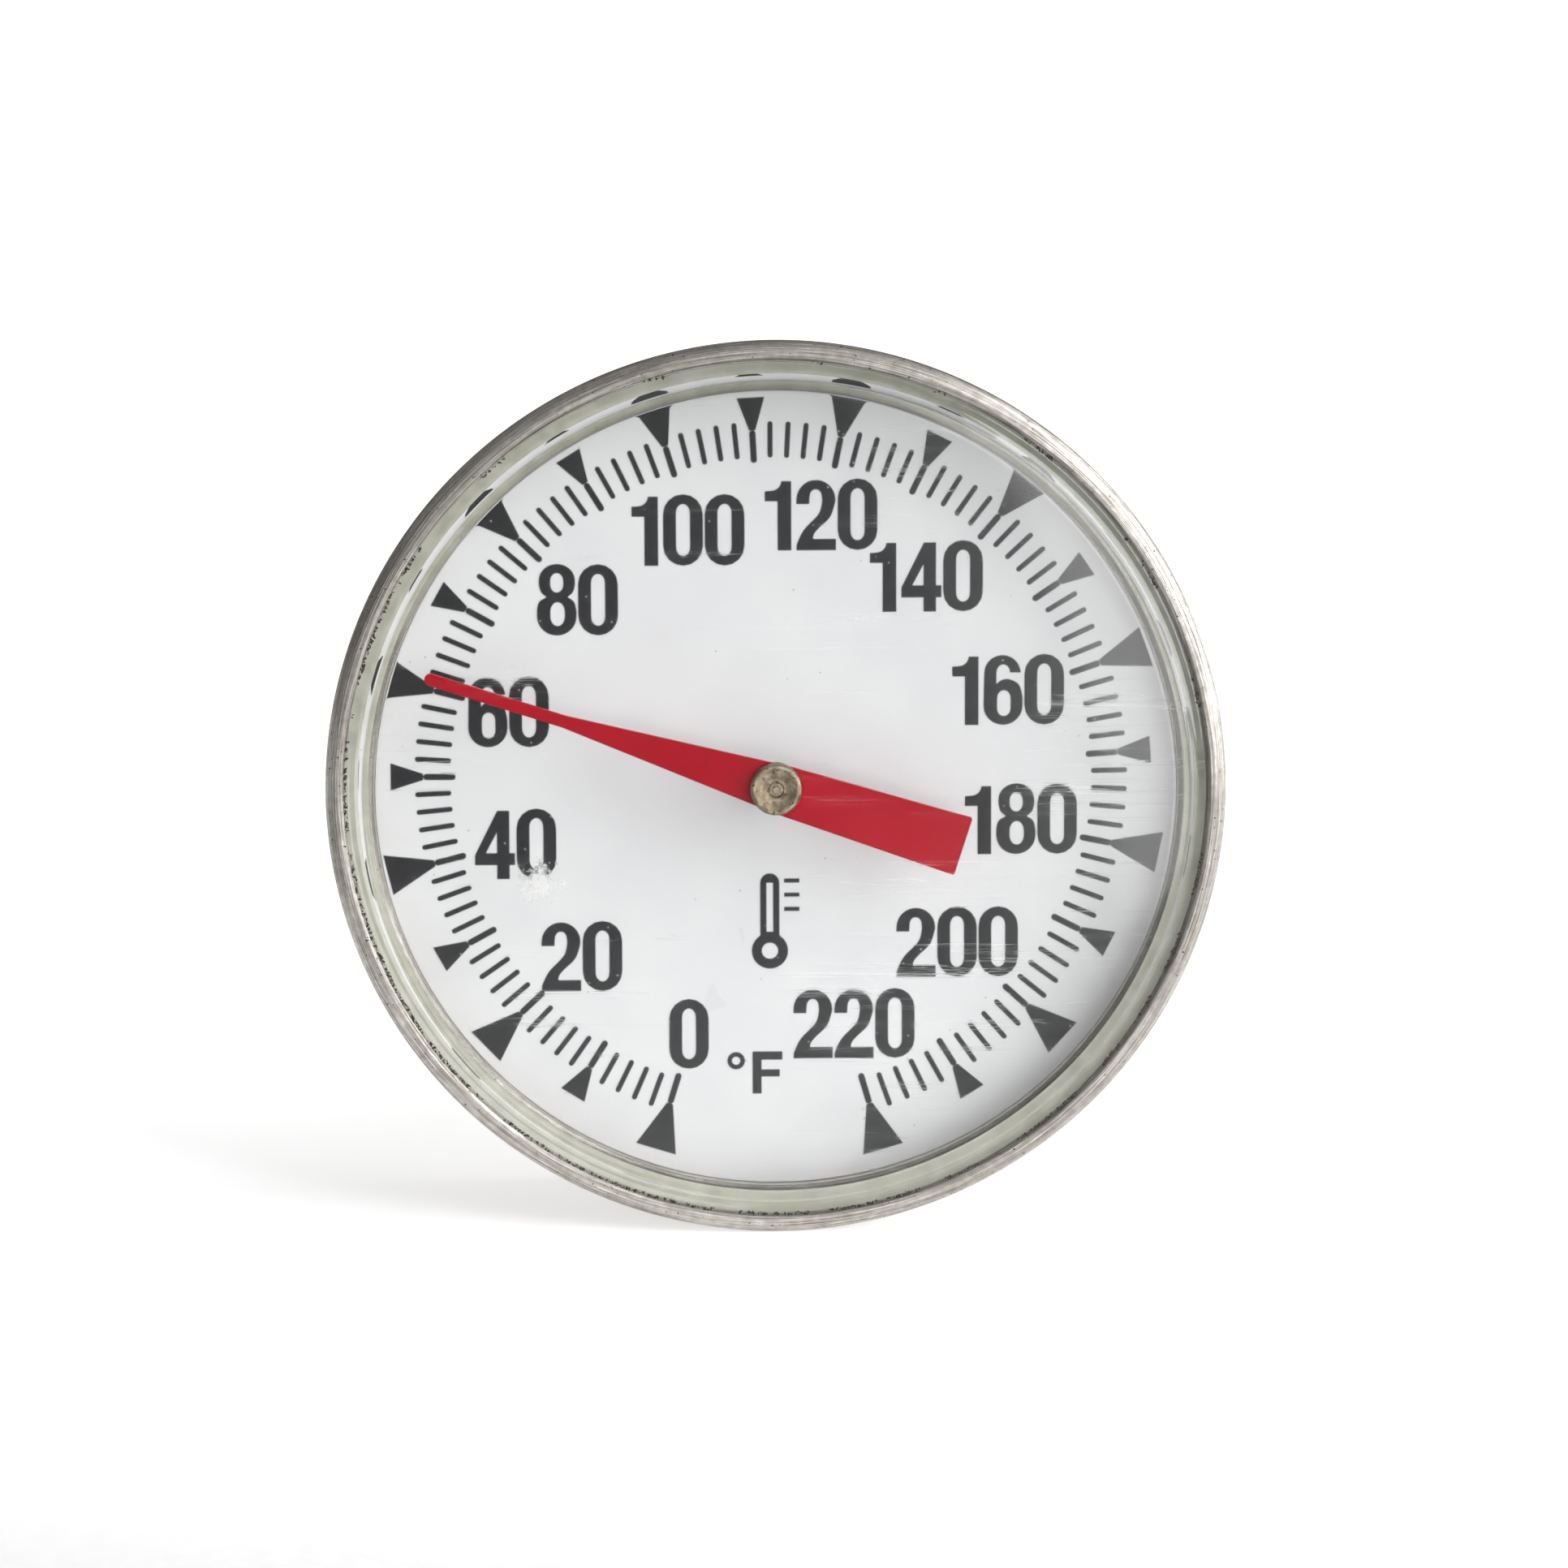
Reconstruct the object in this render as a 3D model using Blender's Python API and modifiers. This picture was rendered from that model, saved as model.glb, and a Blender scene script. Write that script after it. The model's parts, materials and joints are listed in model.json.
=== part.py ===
"""A bimetal stem thermometer with a large dial, standing on its rim and on the tip of its stem.

Everything is modelled about the stem's own axis: local Z runs along that axis and points out of
the dial, local Y is the dial's twelve o'clock, and the dial's painted face is at local Z = 0.
The frame empty then leans that axis back until the rim and the stem's tip both meet Z = 0.
Sizes below are in millimetres, and MM turns them into metres.
"""

from math import acos, atan2, cos, hypot, pi, radians, sin, tau

import bmesh
import bpy
from mathutils import Matrix

MM = 0.001

# Fineness of the turned pieces. Each has a flat, not a corner, at its bottom.
HEAD_STEPS = 48
BOSS_STEPS = 24
SHAFT_STEPS = 16
CORNER_STEPS = 4
GAP = 0.1

# Head
RIM_RADIUS = 23.5
RIM_INNER_RADIUS = 22.5
RIM_FRONT = 4.9
RIM_WALL = 0.65
RIM_BACK = 2.15
RIM_ROLL = 0.75
RIM_CURL = 0.4
RIM_CURL_CLEARANCE = 0.15
RIM_LIP_DROP = 0.15
RIM_LIP_WALL = 0.2
CASE_RADIUS = 22.3
CASE_WALL = 0.5
CASE_BACK = -4.0
CASE_CORNER = 1.2
CASE_FLANGE_RADIUS = 22.75
CASE_FLANGE_FRONT = 3.2
SEAT_RADIUS = 9.0
SEAT_STEP = 0.4
SEAT_EASE = 0.2
SEAT_HOLE = 2.85
LENS_FLAT_RADIUS = 21.55
LENS_FRONT = 5.6
LENS_BACK = 4.3
LENS_BACK_RADIUS = 20.9
LENS_LEDGE_RADIUS = 21.95
LENS_LEDGE = 5.0
LENS_SHOULDER = 4.85
LENS_FLANGE_STEP = 0.45
LENS_FLANGE_BACK = 3.9
GASKET_INNER_RADIUS = 21.3
DIAL_RADIUS = 21.5
DIAL_THICKNESS = 0.5
DIAL_HOLE = 1.6
SPACER_WIDTH = 0.9

# Pointer
POINTER_REST = -73.0
POINTER_TIP = 19.2
POINTER_TAIL = 10.3
POINTER_NECK = 11.6
POINTER_TIP_WIDTH = 0.65
POINTER_HUB_WIDTH = 2.5
POINTER_TAIL_WIDTH = 3.2
POINTER_LEVEL = 3.1
POINTER_THICKNESS = 0.3
TAIL_CORNER = 0.2
HUB_RADIUS = 1.35
HUB_FRONT = 3.95
HUB_CAP = 0.6
HUB_ROUND = 0.15
HUB_CLEARANCE = 0.05
HUB_BARREL_RADIUS = 0.9
HUB_BACK = 2.0
WASHER_RADIUS = 1.5
WASHER_THICKNESS = 0.3
DIMPLE_RADIUS = 0.35
DIMPLE_DEPTH = 0.15
SPINDLE_RADIUS = 0.45
SPINDLE_CLEARANCE = 0.1

# Stem
STEM_LENGTH = 127.0
STEM_RADIUS = 1.9
STEM_WALL = 0.25
STEM_TOP = -2.5
NUT_ACROSS_FLATS = 11.1
NUT_FRONT = -5.05
NUT_THICKNESS = 3.8
NUT_CHAMFER = 0.5
SHANK_RADIUS = 2.7
SHANK_FRONT = -2.3
SHANK_CHAMFER = 0.25
GROOVE_RADIUS = 2.3
GROOVE_BACK = -3.25
GROOVE_WIDTH = 0.5
SHOULDER_RADIUS = 3.0
SHOULDER_LENGTH = 0.8
SEAL_RADIUS = 5.15
SEAL_THICKNESS = 0.45
CLIP_RADIUS = 4.2
CLIP_SLOT = 1.6
CLIP_CLEARANCE = 0.05
WAVE_RADIUS = 5.0
WAVE_THICKNESS = 0.25
WAVE_HEIGHT = 0.1
WAVES = 3

# Bimetal coil inside the stem
COIL_RADIUS = 1.2
COIL_WIRE_RADIUS = 0.25
COIL_TURNS = 14
COIL_STEPS = 14
COIL_LENGTH = 31.0
ANCHOR_LENGTH = 1.4
CAP_LENGTH = 1.0
CAP_RADIUS = 1.4
BUSHING_LENGTH = 3.0
BUSHING_FLANGE = 0.35
BUSHING_FLANGE_RADIUS = 2.4
MIDDLE_BUSHING_SHARE = 0.5
LOWER_BUSHING_SHARE = 0.93
PLUG_SPIGOT = 1.2

# Places worked out from the sizes above
STEM_BORE = STEM_RADIUS - STEM_WALL
NUT_BACK = NUT_FRONT - NUT_THICKNESS
SHOULDER_BACK = NUT_BACK - SHOULDER_LENGTH
TIP_CENTRE = NUT_BACK - STEM_LENGTH + STEM_RADIUS
TUBE_END = TIP_CENTRE + GAP
PLUG_TOP = TUBE_END + PLUG_SPIGOT
ANCHOR_BACK = PLUG_TOP + GAP
COIL_BACK = ANCHOR_BACK + ANCHOR_LENGTH + COIL_WIRE_RADIUS + GAP
COIL_FRONT = COIL_BACK + COIL_LENGTH
CAP_BACK = COIL_FRONT + COIL_WIRE_RADIUS + GAP
RIM_WIDEST = RIM_FRONT - RIM_ROLL
SEAT_BACK = CASE_BACK - SEAT_STEP
SEAT_FRONT = SEAT_BACK + CASE_WALL
SPINDLE_FRONT = HUB_FRONT - HUB_CAP
HUB_BORE = SPINDLE_RADIUS + SPINDLE_CLEARANCE


def lean_angle():
    """How far the dial leans back when the rim and the stem's tip stand on one plane."""
    flat_radius = RIM_RADIUS * cos(pi / HEAD_STEPS)
    reach = RIM_WIDEST - TIP_CENTRE
    return acos(STEM_RADIUS / hypot(flat_radius, reach)) - atan2(reach, flat_radius)


def clear_scene():
    for obj in list(bpy.data.objects):
        bpy.data.objects.remove(obj, do_unlink=True)


def new_collection(name):
    collection = bpy.data.collections.new(name)
    bpy.context.scene.collection.children.link(collection)
    return collection


clear_scene()
parts = new_collection("oven_thermometer")
cutters = new_collection("cutters")


def make_frame():
    """The empty that carries every piece. The head, stem and pointer all turn about its Z axis."""
    lean = lean_angle()
    frame = bpy.data.objects.new("stem_axis", None)
    parts.objects.link(frame)
    frame.rotation_euler = (pi / 2 - lean, 0, 0)
    tip_height = TIP_CENTRE * sin(lean) - STEM_RADIUS
    tip_reach = -TIP_CENTRE * cos(lean) + STEM_RADIUS
    front_reach = -LENS_FRONT * cos(lean) - LENS_FLAT_RADIUS * sin(lean)
    frame.location = (0, -(tip_reach + front_reach) / 2 * MM, -tip_height * MM)
    return frame


frame = make_frame()


def material(name, colour, roughness, metallic=0.0, alpha=1.0):
    made = bpy.data.materials.new(name)
    made.use_nodes = True
    shader = made.node_tree.nodes["Principled BSDF"]
    shader.inputs["Base Color"].default_value = (*colour, 1.0)
    shader.inputs["Roughness"].default_value = roughness
    shader.inputs["Metallic"].default_value = metallic
    shader.inputs["Alpha"].default_value = alpha
    return made


spun_steel = material("spun_steel", (0.42, 0.39, 0.36), 0.35, 1.0)
drawn_steel = material("drawn_steel", (0.52, 0.50, 0.48), 0.28, 1.0)
turned_steel = material("turned_steel", (0.48, 0.46, 0.44), 0.3, 1.0)
spring_steel = material("spring_steel", (0.36, 0.36, 0.37), 0.35, 1.0)
aged_brass = material("aged_brass", (0.45, 0.36, 0.22), 0.4, 1.0)
bimetal_strip = material("bimetal_strip", (0.38, 0.36, 0.35), 0.45, 1.0)
clear_plastic = material("clear_plastic", (0.93, 0.95, 0.94), 0.08, alpha=0.35)
white_enamel = material("white_enamel", (0.80, 0.81, 0.81), 0.4)
red_enamel = material("red_enamel", (0.45, 0.0, 0.015), 0.45)
pale_rubber = material("pale_rubber", (0.55, 0.54, 0.47), 0.6)
black_rubber = material("black_rubber", (0.03, 0.03, 0.03), 0.7)


def place(obj, finish, z=0.0, turn=0.0):
    """Gives a piece its finish and hangs it on the stem's axis."""
    obj.data.materials.append(finish)
    parts.objects.link(obj)
    obj.parent = frame
    obj.location = (0, 0, z * MM)
    obj.rotation_euler = (0, 0, turn)
    return obj


def as_cutter(obj):
    cutters.objects.link(obj)
    obj.parent = frame
    obj.hide_render = True
    obj.display_type = "WIRE"
    return obj


def turned(name, profile, steps, closed=True):
    """A body of revolution. The profile's (radius, height) points run down its outer side."""
    mesh = bpy.data.meshes.new(name)
    points = [(radius * MM, 0, height * MM) for radius, height in profile]
    edges = [(i, i + 1) for i in range(len(points) - 1)]
    if closed:
        edges.append((len(points) - 1, 0))
    mesh.from_pydata(points, edges, [])
    obj = bpy.data.objects.new(name, mesh)
    screw = obj.modifiers.new("turn", "SCREW")
    screw.axis = "Z"
    screw.angle = tau
    screw.steps = screw.render_steps = steps
    screw.use_merge_vertices = True
    screw.merge_threshold = 1e-6
    screw.use_smooth_shade = True
    return obj


def ring(name, outer, inner, front, back, steps):
    """A plain turned ring."""
    return turned(name, [(inner, front), (outer, front), (outer, back), (inner, back)], steps)


def disc(name, radius, front, back, steps):
    return turned(name, [(0, front), (radius, front), (radius, back), (0, back)], steps, closed=False)


def half_flat(steps):
    """Turns a piece by half a facet, so that a flat faces down."""
    return pi / steps


def arc(centre_r, centre_z, radius, start, end, steps=CORNER_STEPS):
    """Points of a rounded corner, from one angle to another in degrees."""
    angles = [radians(start + (end - start) * i / steps) for i in range(steps + 1)]
    return [(centre_r + radius * cos(a), centre_z + radius * sin(a)) for a in angles]


def to_mesh(obj):
    """The evaluated shape of an object as a plain mesh object, which a Boolean can take."""
    scene = bpy.context.scene
    scene.collection.objects.link(obj)
    bpy.context.view_layer.update()
    graph = bpy.context.evaluated_depsgraph_get()
    mesh = bpy.data.meshes.new_from_object(obj.evaluated_get(graph))
    mesh.materials.clear()
    name = obj.name
    matrix = obj.matrix_world.copy()
    bpy.data.objects.remove(obj, do_unlink=True)
    mesh.name = name
    whole = bmesh.new()
    whole.from_mesh(mesh)
    bmesh.ops.remove_doubles(whole, verts=whole.verts, dist=1e-6)
    whole.to_mesh(mesh)
    whole.free()
    made = bpy.data.objects.new(name, mesh)
    made.matrix_world = matrix
    return made


def boolean(obj, other, operation):
    change = obj.modifiers.new(operation.lower(), "BOOLEAN")
    change.operation = operation
    change.object = as_cutter(other)


def make_bezel_ring():
    """The spun ring, rolled over the lens in front, tapered, and curled under the case's flange."""
    inner_wall = RIM_RADIUS - RIM_WALL
    lip_front = RIM_FRONT - RIM_LIP_DROP
    lip_back = lip_front - RIM_LIP_WALL
    curl_front = RIM_BACK + RIM_CURL
    curl_edge = CASE_RADIUS + RIM_CURL_CLEARANCE
    profile = [(RIM_INNER_RADIUS, lip_front)]
    profile += arc(RIM_RADIUS - RIM_ROLL, RIM_WIDEST, RIM_ROLL, 90, 0)
    profile += arc(inner_wall, curl_front, RIM_CURL, -30, -90, 2)
    profile += [(curl_edge, RIM_BACK), (curl_edge, curl_front), (inner_wall, curl_front)]
    profile += [(inner_wall, lip_back), (RIM_INNER_RADIUS, lip_back)]
    place(turned("bezel_ring", profile, HEAD_STEPS), spun_steel, turn=half_flat(HEAD_STEPS))


def make_case_cup():
    """The drawn cup: a flange in front, a rounded back corner and a stepped seat for the stem."""
    inner = CASE_RADIUS - CASE_WALL
    inner_corner = CASE_CORNER - CASE_WALL
    corner_r = CASE_RADIUS - CASE_CORNER
    corner_z = CASE_BACK + CASE_CORNER
    front = CASE_FLANGE_FRONT
    profile = [(inner, front), (CASE_FLANGE_RADIUS, front), (CASE_FLANGE_RADIUS, front - CASE_WALL)]
    profile += [(CASE_RADIUS, front - CASE_WALL)]
    profile += arc(corner_r, corner_z, CASE_CORNER, 0, -90)
    profile += [(SEAT_RADIUS + SEAT_STEP, CASE_BACK), (SEAT_RADIUS, SEAT_BACK), (SEAT_HOLE, SEAT_BACK)]
    profile += [(SEAT_HOLE, SEAT_FRONT), (SEAT_RADIUS - SEAT_EASE, SEAT_FRONT)]
    profile += [(SEAT_RADIUS + SEAT_STEP - SEAT_EASE, CASE_BACK + CASE_WALL)]
    profile += arc(corner_r, corner_z, inner_corner, -90, 0)
    place(turned("case_cup", profile, HEAD_STEPS), drawn_steel, turn=half_flat(HEAD_STEPS))


def make_lens():
    """The moulded crystal: a raised flat, a steep shoulder, a low ledge and a flange under the rim."""
    flange_front = LENS_SHOULDER - LENS_FLANGE_STEP
    profile = [(0, LENS_FRONT), (LENS_FLAT_RADIUS, LENS_FRONT), (LENS_LEDGE_RADIUS, LENS_LEDGE)]
    profile += [(RIM_INNER_RADIUS - GAP, LENS_SHOULDER), (RIM_INNER_RADIUS - GAP, flange_front)]
    profile += [(CASE_FLANGE_RADIUS, flange_front), (CASE_FLANGE_RADIUS, LENS_FLANGE_BACK)]
    profile += [(GASKET_INNER_RADIUS, LENS_FLANGE_BACK), (LENS_BACK_RADIUS, LENS_BACK), (0, LENS_BACK)]
    obj = turned("lens", profile, HEAD_STEPS, closed=False)
    place(obj, clear_plastic, turn=half_flat(HEAD_STEPS))


def make_lens_gasket():
    front = LENS_FLANGE_BACK - GAP
    back = CASE_FLANGE_FRONT + GAP
    obj = ring("lens_gasket", CASE_FLANGE_RADIUS, GASKET_INNER_RADIUS, front, back, HEAD_STEPS)
    place(obj, pale_rubber, turn=half_flat(HEAD_STEPS))


def make_dial_plate():
    obj = ring("dial_plate", DIAL_RADIUS, DIAL_HOLE, 0, -DIAL_THICKNESS, HEAD_STEPS)
    place(obj, white_enamel, turn=half_flat(HEAD_STEPS))


def make_dial_spacer():
    """The ring between the case's back and the dial, which sets how deep the dial sits."""
    front = -DIAL_THICKNESS - GAP
    back = CASE_BACK + CASE_WALL + GAP
    outer = CASE_RADIUS - CASE_CORNER
    obj = ring("dial_spacer", outer, outer - SPACER_WIDTH, front, back, HEAD_STEPS)
    place(obj, drawn_steel, turn=half_flat(HEAD_STEPS))


def hex_prism(name):
    """A plain hexagonal bar as long as the nut, with a corner at twelve o'clock."""
    corner_radius = NUT_ACROSS_FLATS / 2 / cos(pi / 6)
    centre = Matrix.Translation((0, 0, (NUT_FRONT + NUT_BACK) / 2 * MM))
    shape = bmesh.new()
    bmesh.ops.create_cone(
        shape,
        cap_ends=True,
        segments=6,
        radius1=corner_radius * MM,
        radius2=corner_radius * MM,
        depth=NUT_THICKNESS * MM,
        matrix=centre @ Matrix.Rotation(pi / 6, 4, "Z"),
    )
    mesh = bpy.data.meshes.new(name)
    shape.to_mesh(mesh)
    shape.free()
    return bpy.data.objects.new(name, mesh)


def nut_chamfer_envelope():
    """A turned blank whose sloping ends take the hexagon's corners off."""
    flat = NUT_ACROSS_FLATS / 2 + GAP
    corner = NUT_ACROSS_FLATS / 2 / cos(pi / 6) + 2 * GAP
    drop = NUT_CHAMFER + GAP
    profile = [(0, NUT_FRONT + GAP), (flat, NUT_FRONT + GAP), (corner, NUT_FRONT - drop)]
    profile += [(corner, NUT_BACK + drop), (flat, NUT_BACK - GAP), (0, NUT_BACK - GAP)]
    return to_mesh(turned("nut_envelope", profile, 2 * BOSS_STEPS, closed=False))


def nut_shank():
    """The round part of the nut, which passes through the case, with its clip groove and shoulder."""
    groove_front = GROOVE_BACK + GROOVE_WIDTH
    ease = SHANK_CHAMFER
    profile = [(0, SHANK_FRONT), (SHANK_RADIUS - ease, SHANK_FRONT), (SHANK_RADIUS, SHANK_FRONT - ease)]
    profile += [(SHANK_RADIUS, groove_front), (GROOVE_RADIUS, groove_front)]
    profile += [(GROOVE_RADIUS, GROOVE_BACK), (SHANK_RADIUS, GROOVE_BACK), (SHANK_RADIUS, NUT_FRONT - 0.5)]
    profile += [(SHOULDER_RADIUS, NUT_FRONT - 1), (SHOULDER_RADIUS, SHOULDER_BACK + ease)]
    profile += [(SHOULDER_RADIUS - ease, SHOULDER_BACK), (0, SHOULDER_BACK)]
    return to_mesh(turned("nut_shank", profile, BOSS_STEPS, closed=False))


def make_calibration_nut():
    """The hexagon behind the case. It is fixed to the stem, and the head turns on its shank."""
    nut = hex_prism("calibration_nut")
    boolean(nut, nut_chamfer_envelope(), "INTERSECT")
    boolean(nut, nut_shank(), "UNION")
    bore = disc("nut_bore", STEM_RADIUS + GAP, SHANK_FRONT + 1, SHOULDER_BACK - 1, BOSS_STEPS)
    boolean(nut, to_mesh(bore), "DIFFERENCE")
    place(nut, turned_steel)


def make_retaining_clip():
    """The open ring in the shank's groove, which keeps the head on the stem."""
    front = GROOVE_BACK + GROOVE_WIDTH - CLIP_CLEARANCE
    back = GROOVE_BACK + CLIP_CLEARANCE
    clip = to_mesh(ring("retaining_clip", CLIP_RADIUS, GROOVE_RADIUS + GAP, front, back, BOSS_STEPS))
    slot = bmesh.new()
    centre = Matrix.Translation((0, CLIP_RADIUS * MM, GROOVE_BACK * MM))
    size = Matrix.Diagonal((CLIP_SLOT * MM, 2 * CLIP_RADIUS * MM, 4 * GROOVE_WIDTH * MM, 1))
    bmesh.ops.create_cube(slot, size=1.0, matrix=centre @ size)
    mesh = bpy.data.meshes.new("clip_slot")
    slot.to_mesh(mesh)
    slot.free()
    boolean(clip, bpy.data.objects.new("clip_slot", mesh), "DIFFERENCE")
    place(clip, spring_steel)


def make_wave_washer():
    """The sprung washer that gives the head its friction when it is turned on the nut."""
    middle = (SEAT_FRONT + GROOVE_BACK) / 2
    half = WAVE_THICKNESS / 2
    inner = SHANK_RADIUS + GAP
    washer = to_mesh(ring("wave_washer", WAVE_RADIUS, inner, middle + half, middle - half, 2 * BOSS_STEPS))
    for vertex in washer.data.vertices:
        angle = atan2(vertex.co.y, vertex.co.x)
        vertex.co.z += WAVE_HEIGHT * MM * sin(WAVES * angle)
    place(washer, spring_steel)


def make_seal_washer():
    front = SEAT_BACK - GAP
    back = front - SEAL_THICKNESS
    obj = ring("seal_washer", SEAL_RADIUS, SHANK_RADIUS + GAP, front, back, BOSS_STEPS)
    place(obj, black_rubber)


def make_stem_tube():
    obj = ring("stem_tube", STEM_RADIUS, STEM_BORE, STEM_TOP, TUBE_END, BOSS_STEPS)
    place(obj, drawn_steel, turn=half_flat(BOSS_STEPS))


def make_stem_tip():
    """The round nose that closes the tube, with a spigot up the bore."""
    spigot = STEM_BORE - GAP
    profile = [(0, PLUG_TOP), (spigot, PLUG_TOP), (spigot, TIP_CENTRE), (STEM_RADIUS, TIP_CENTRE)]
    profile += arc(0, TIP_CENTRE, STEM_RADIUS, 0, -90, 6)[1:-1]
    profile += [(0, TIP_CENTRE - STEM_RADIUS)]
    obj = turned("stem_tip", profile, BOSS_STEPS, closed=False)
    place(obj, drawn_steel, turn=half_flat(BOSS_STEPS))


def make_bushings():
    """Three guides that hold the spindle in the middle of the tube; the upper one has a flange."""
    outer = STEM_BORE - GAP
    bore = SPINDLE_RADIUS + SPINDLE_CLEARANCE
    flange_back = SHANK_FRONT + GAP
    flange_front = flange_back + BUSHING_FLANGE
    profile = [(bore, flange_front), (BUSHING_FLANGE_RADIUS, flange_front)]
    profile += [(BUSHING_FLANGE_RADIUS, flange_back), (outer, flange_back)]
    profile += [(outer, flange_back - BUSHING_LENGTH), (bore, flange_back - BUSHING_LENGTH)]
    place(turned("upper_bushing", profile, SHAFT_STEPS), aged_brass)
    shares = {"middle_bushing": MIDDLE_BUSHING_SHARE, "lower_bushing": LOWER_BUSHING_SHARE}
    for name, share in shares.items():
        front = STEM_TOP + (CAP_BACK - STEM_TOP) * share
        place(ring(name, outer, bore, front, front - BUSHING_LENGTH, SHAFT_STEPS), aged_brass)


def make_coil_anchor():
    """The plug fixed in the tube, to which the coil's lower end is welded."""
    obj = disc("coil_anchor", STEM_BORE - GAP, ANCHOR_BACK + ANCHOR_LENGTH, ANCHOR_BACK, SHAFT_STEPS)
    place(obj, turned_steel)


def make_bimetal_coil():
    """The helix that winds up and down with temperature."""
    path = bpy.data.curves.new("bimetal_coil", "CURVE")
    path.dimensions = "3D"
    path.bevel_depth = COIL_WIRE_RADIUS * MM
    path.bevel_resolution = 2
    path.use_fill_caps = True
    count = COIL_TURNS * COIL_STEPS + 1
    spline = path.splines.new("POLY")
    spline.points.add(count - 1)
    for i, point in enumerate(spline.points):
        share = i / (count - 1)
        angle = tau * COIL_TURNS * share
        height = COIL_BACK + COIL_LENGTH * share
        point.co = (COIL_RADIUS * cos(angle) * MM, COIL_RADIUS * sin(angle) * MM, height * MM, 1)
    place(bpy.data.objects.new("bimetal_coil", path), bimetal_strip)


def make_coil_cap():
    """The collar at the spindle's foot, to which the coil's upper end is welded."""
    obj = disc("coil_cap", CAP_RADIUS, CAP_BACK + CAP_LENGTH, CAP_BACK, SHAFT_STEPS)
    place(obj, turned_steel)


def make_spindle():
    obj = disc("spindle", SPINDLE_RADIUS, SPINDLE_FRONT, CAP_BACK + CAP_LENGTH + GAP, SHAFT_STEPS)
    place(obj, turned_steel)


def make_pointer_hub():
    """The riveted cap over the pointer, with a punched dimple, and its barrel on the spindle."""
    profile = [(0, HUB_FRONT - DIMPLE_DEPTH), (DIMPLE_RADIUS, HUB_FRONT)]
    profile += arc(HUB_RADIUS - HUB_ROUND, HUB_FRONT - HUB_ROUND, HUB_ROUND, 90, 0, 2)
    profile += [(HUB_RADIUS, HUB_FRONT - HUB_CAP), (HUB_BARREL_RADIUS, HUB_FRONT - HUB_CAP)]
    profile += [(HUB_BARREL_RADIUS, HUB_BACK), (HUB_BORE, HUB_BACK)]
    profile += [(HUB_BORE, SPINDLE_FRONT + HUB_CLEARANCE), (0, SPINDLE_FRONT + HUB_CLEARANCE)]
    place(turned("pointer_hub", profile, BOSS_STEPS, closed=False), aged_brass)


def make_pointer_washer():
    front = POINTER_LEVEL - POINTER_THICKNESS / 2 - HUB_CLEARANCE
    back = front - WASHER_THICKNESS
    obj = ring("pointer_washer", WASHER_RADIUS, HUB_BARREL_RADIUS + GAP, front, back, BOSS_STEPS)
    place(obj, aged_brass)


def add_outline(path, points):
    spline = path.splines.new("POLY")
    spline.points.add(len(points) - 1)
    for target, (x, y) in zip(spline.points, points, strict=True):
        target.co = (x * MM, y * MM, 0, 1)
    spline.use_cyclic_u = True


def pointer_outline():
    """A slim parallel tip that widens from its neck to the hub and on to a square tail, along +Y."""
    tip = POINTER_TIP_WIDTH / 2
    tail = POINTER_TAIL_WIDTH / 2
    right = [(tip, POINTER_NECK), (POINTER_HUB_WIDTH / 2, 0)]
    right += [(tail, TAIL_CORNER - POINTER_TAIL), (tail - TAIL_CORNER, -POINTER_TAIL)]
    left = [(-x, y) for x, y in reversed(right)]
    nose = arc(0, POINTER_TIP - tip, tip, 180, 0, 6)
    return nose + right + left


def make_pointer():
    path = bpy.data.curves.new("pointer", "CURVE")
    path.dimensions = "2D"
    path.fill_mode = "BOTH"
    path.extrude = POINTER_THICKNESS / 2 * MM
    add_outline(path, pointer_outline())
    whole_turn = 360 - 360 / BOSS_STEPS
    add_outline(path, arc(0, 0, HUB_BARREL_RADIUS + GAP, 0, whole_turn, BOSS_STEPS - 1))
    pointer = bpy.data.objects.new("pointer", path)
    place(pointer, red_enamel, z=POINTER_LEVEL, turn=-radians(POINTER_REST))


make_bezel_ring()
make_case_cup()
make_lens()
make_lens_gasket()
make_dial_plate()
make_dial_spacer()
make_calibration_nut()
make_retaining_clip()
make_wave_washer()
make_seal_washer()
make_stem_tube()
make_stem_tip()
make_bushings()
make_coil_anchor()
make_bimetal_coil()
make_coil_cap()
make_spindle()
make_pointer_hub()
make_pointer_washer()
make_pointer()
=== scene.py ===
# Bimetal stem thermometer: a spun steel head with a moulded crystal, a printed dial and a red
# pointer, standing on its rim with the probe stem behind it.
# Pieces are made in millimetres about the stem's own axis: local Z comes out of the dial, local Y is
# twelve o'clock and the painted face is at Z = 0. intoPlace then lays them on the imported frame.

import json
from math import asin, cos, pi, radians, sin, tau

import bmesh
import bpy
from mathutils import Matrix, Vector


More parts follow.
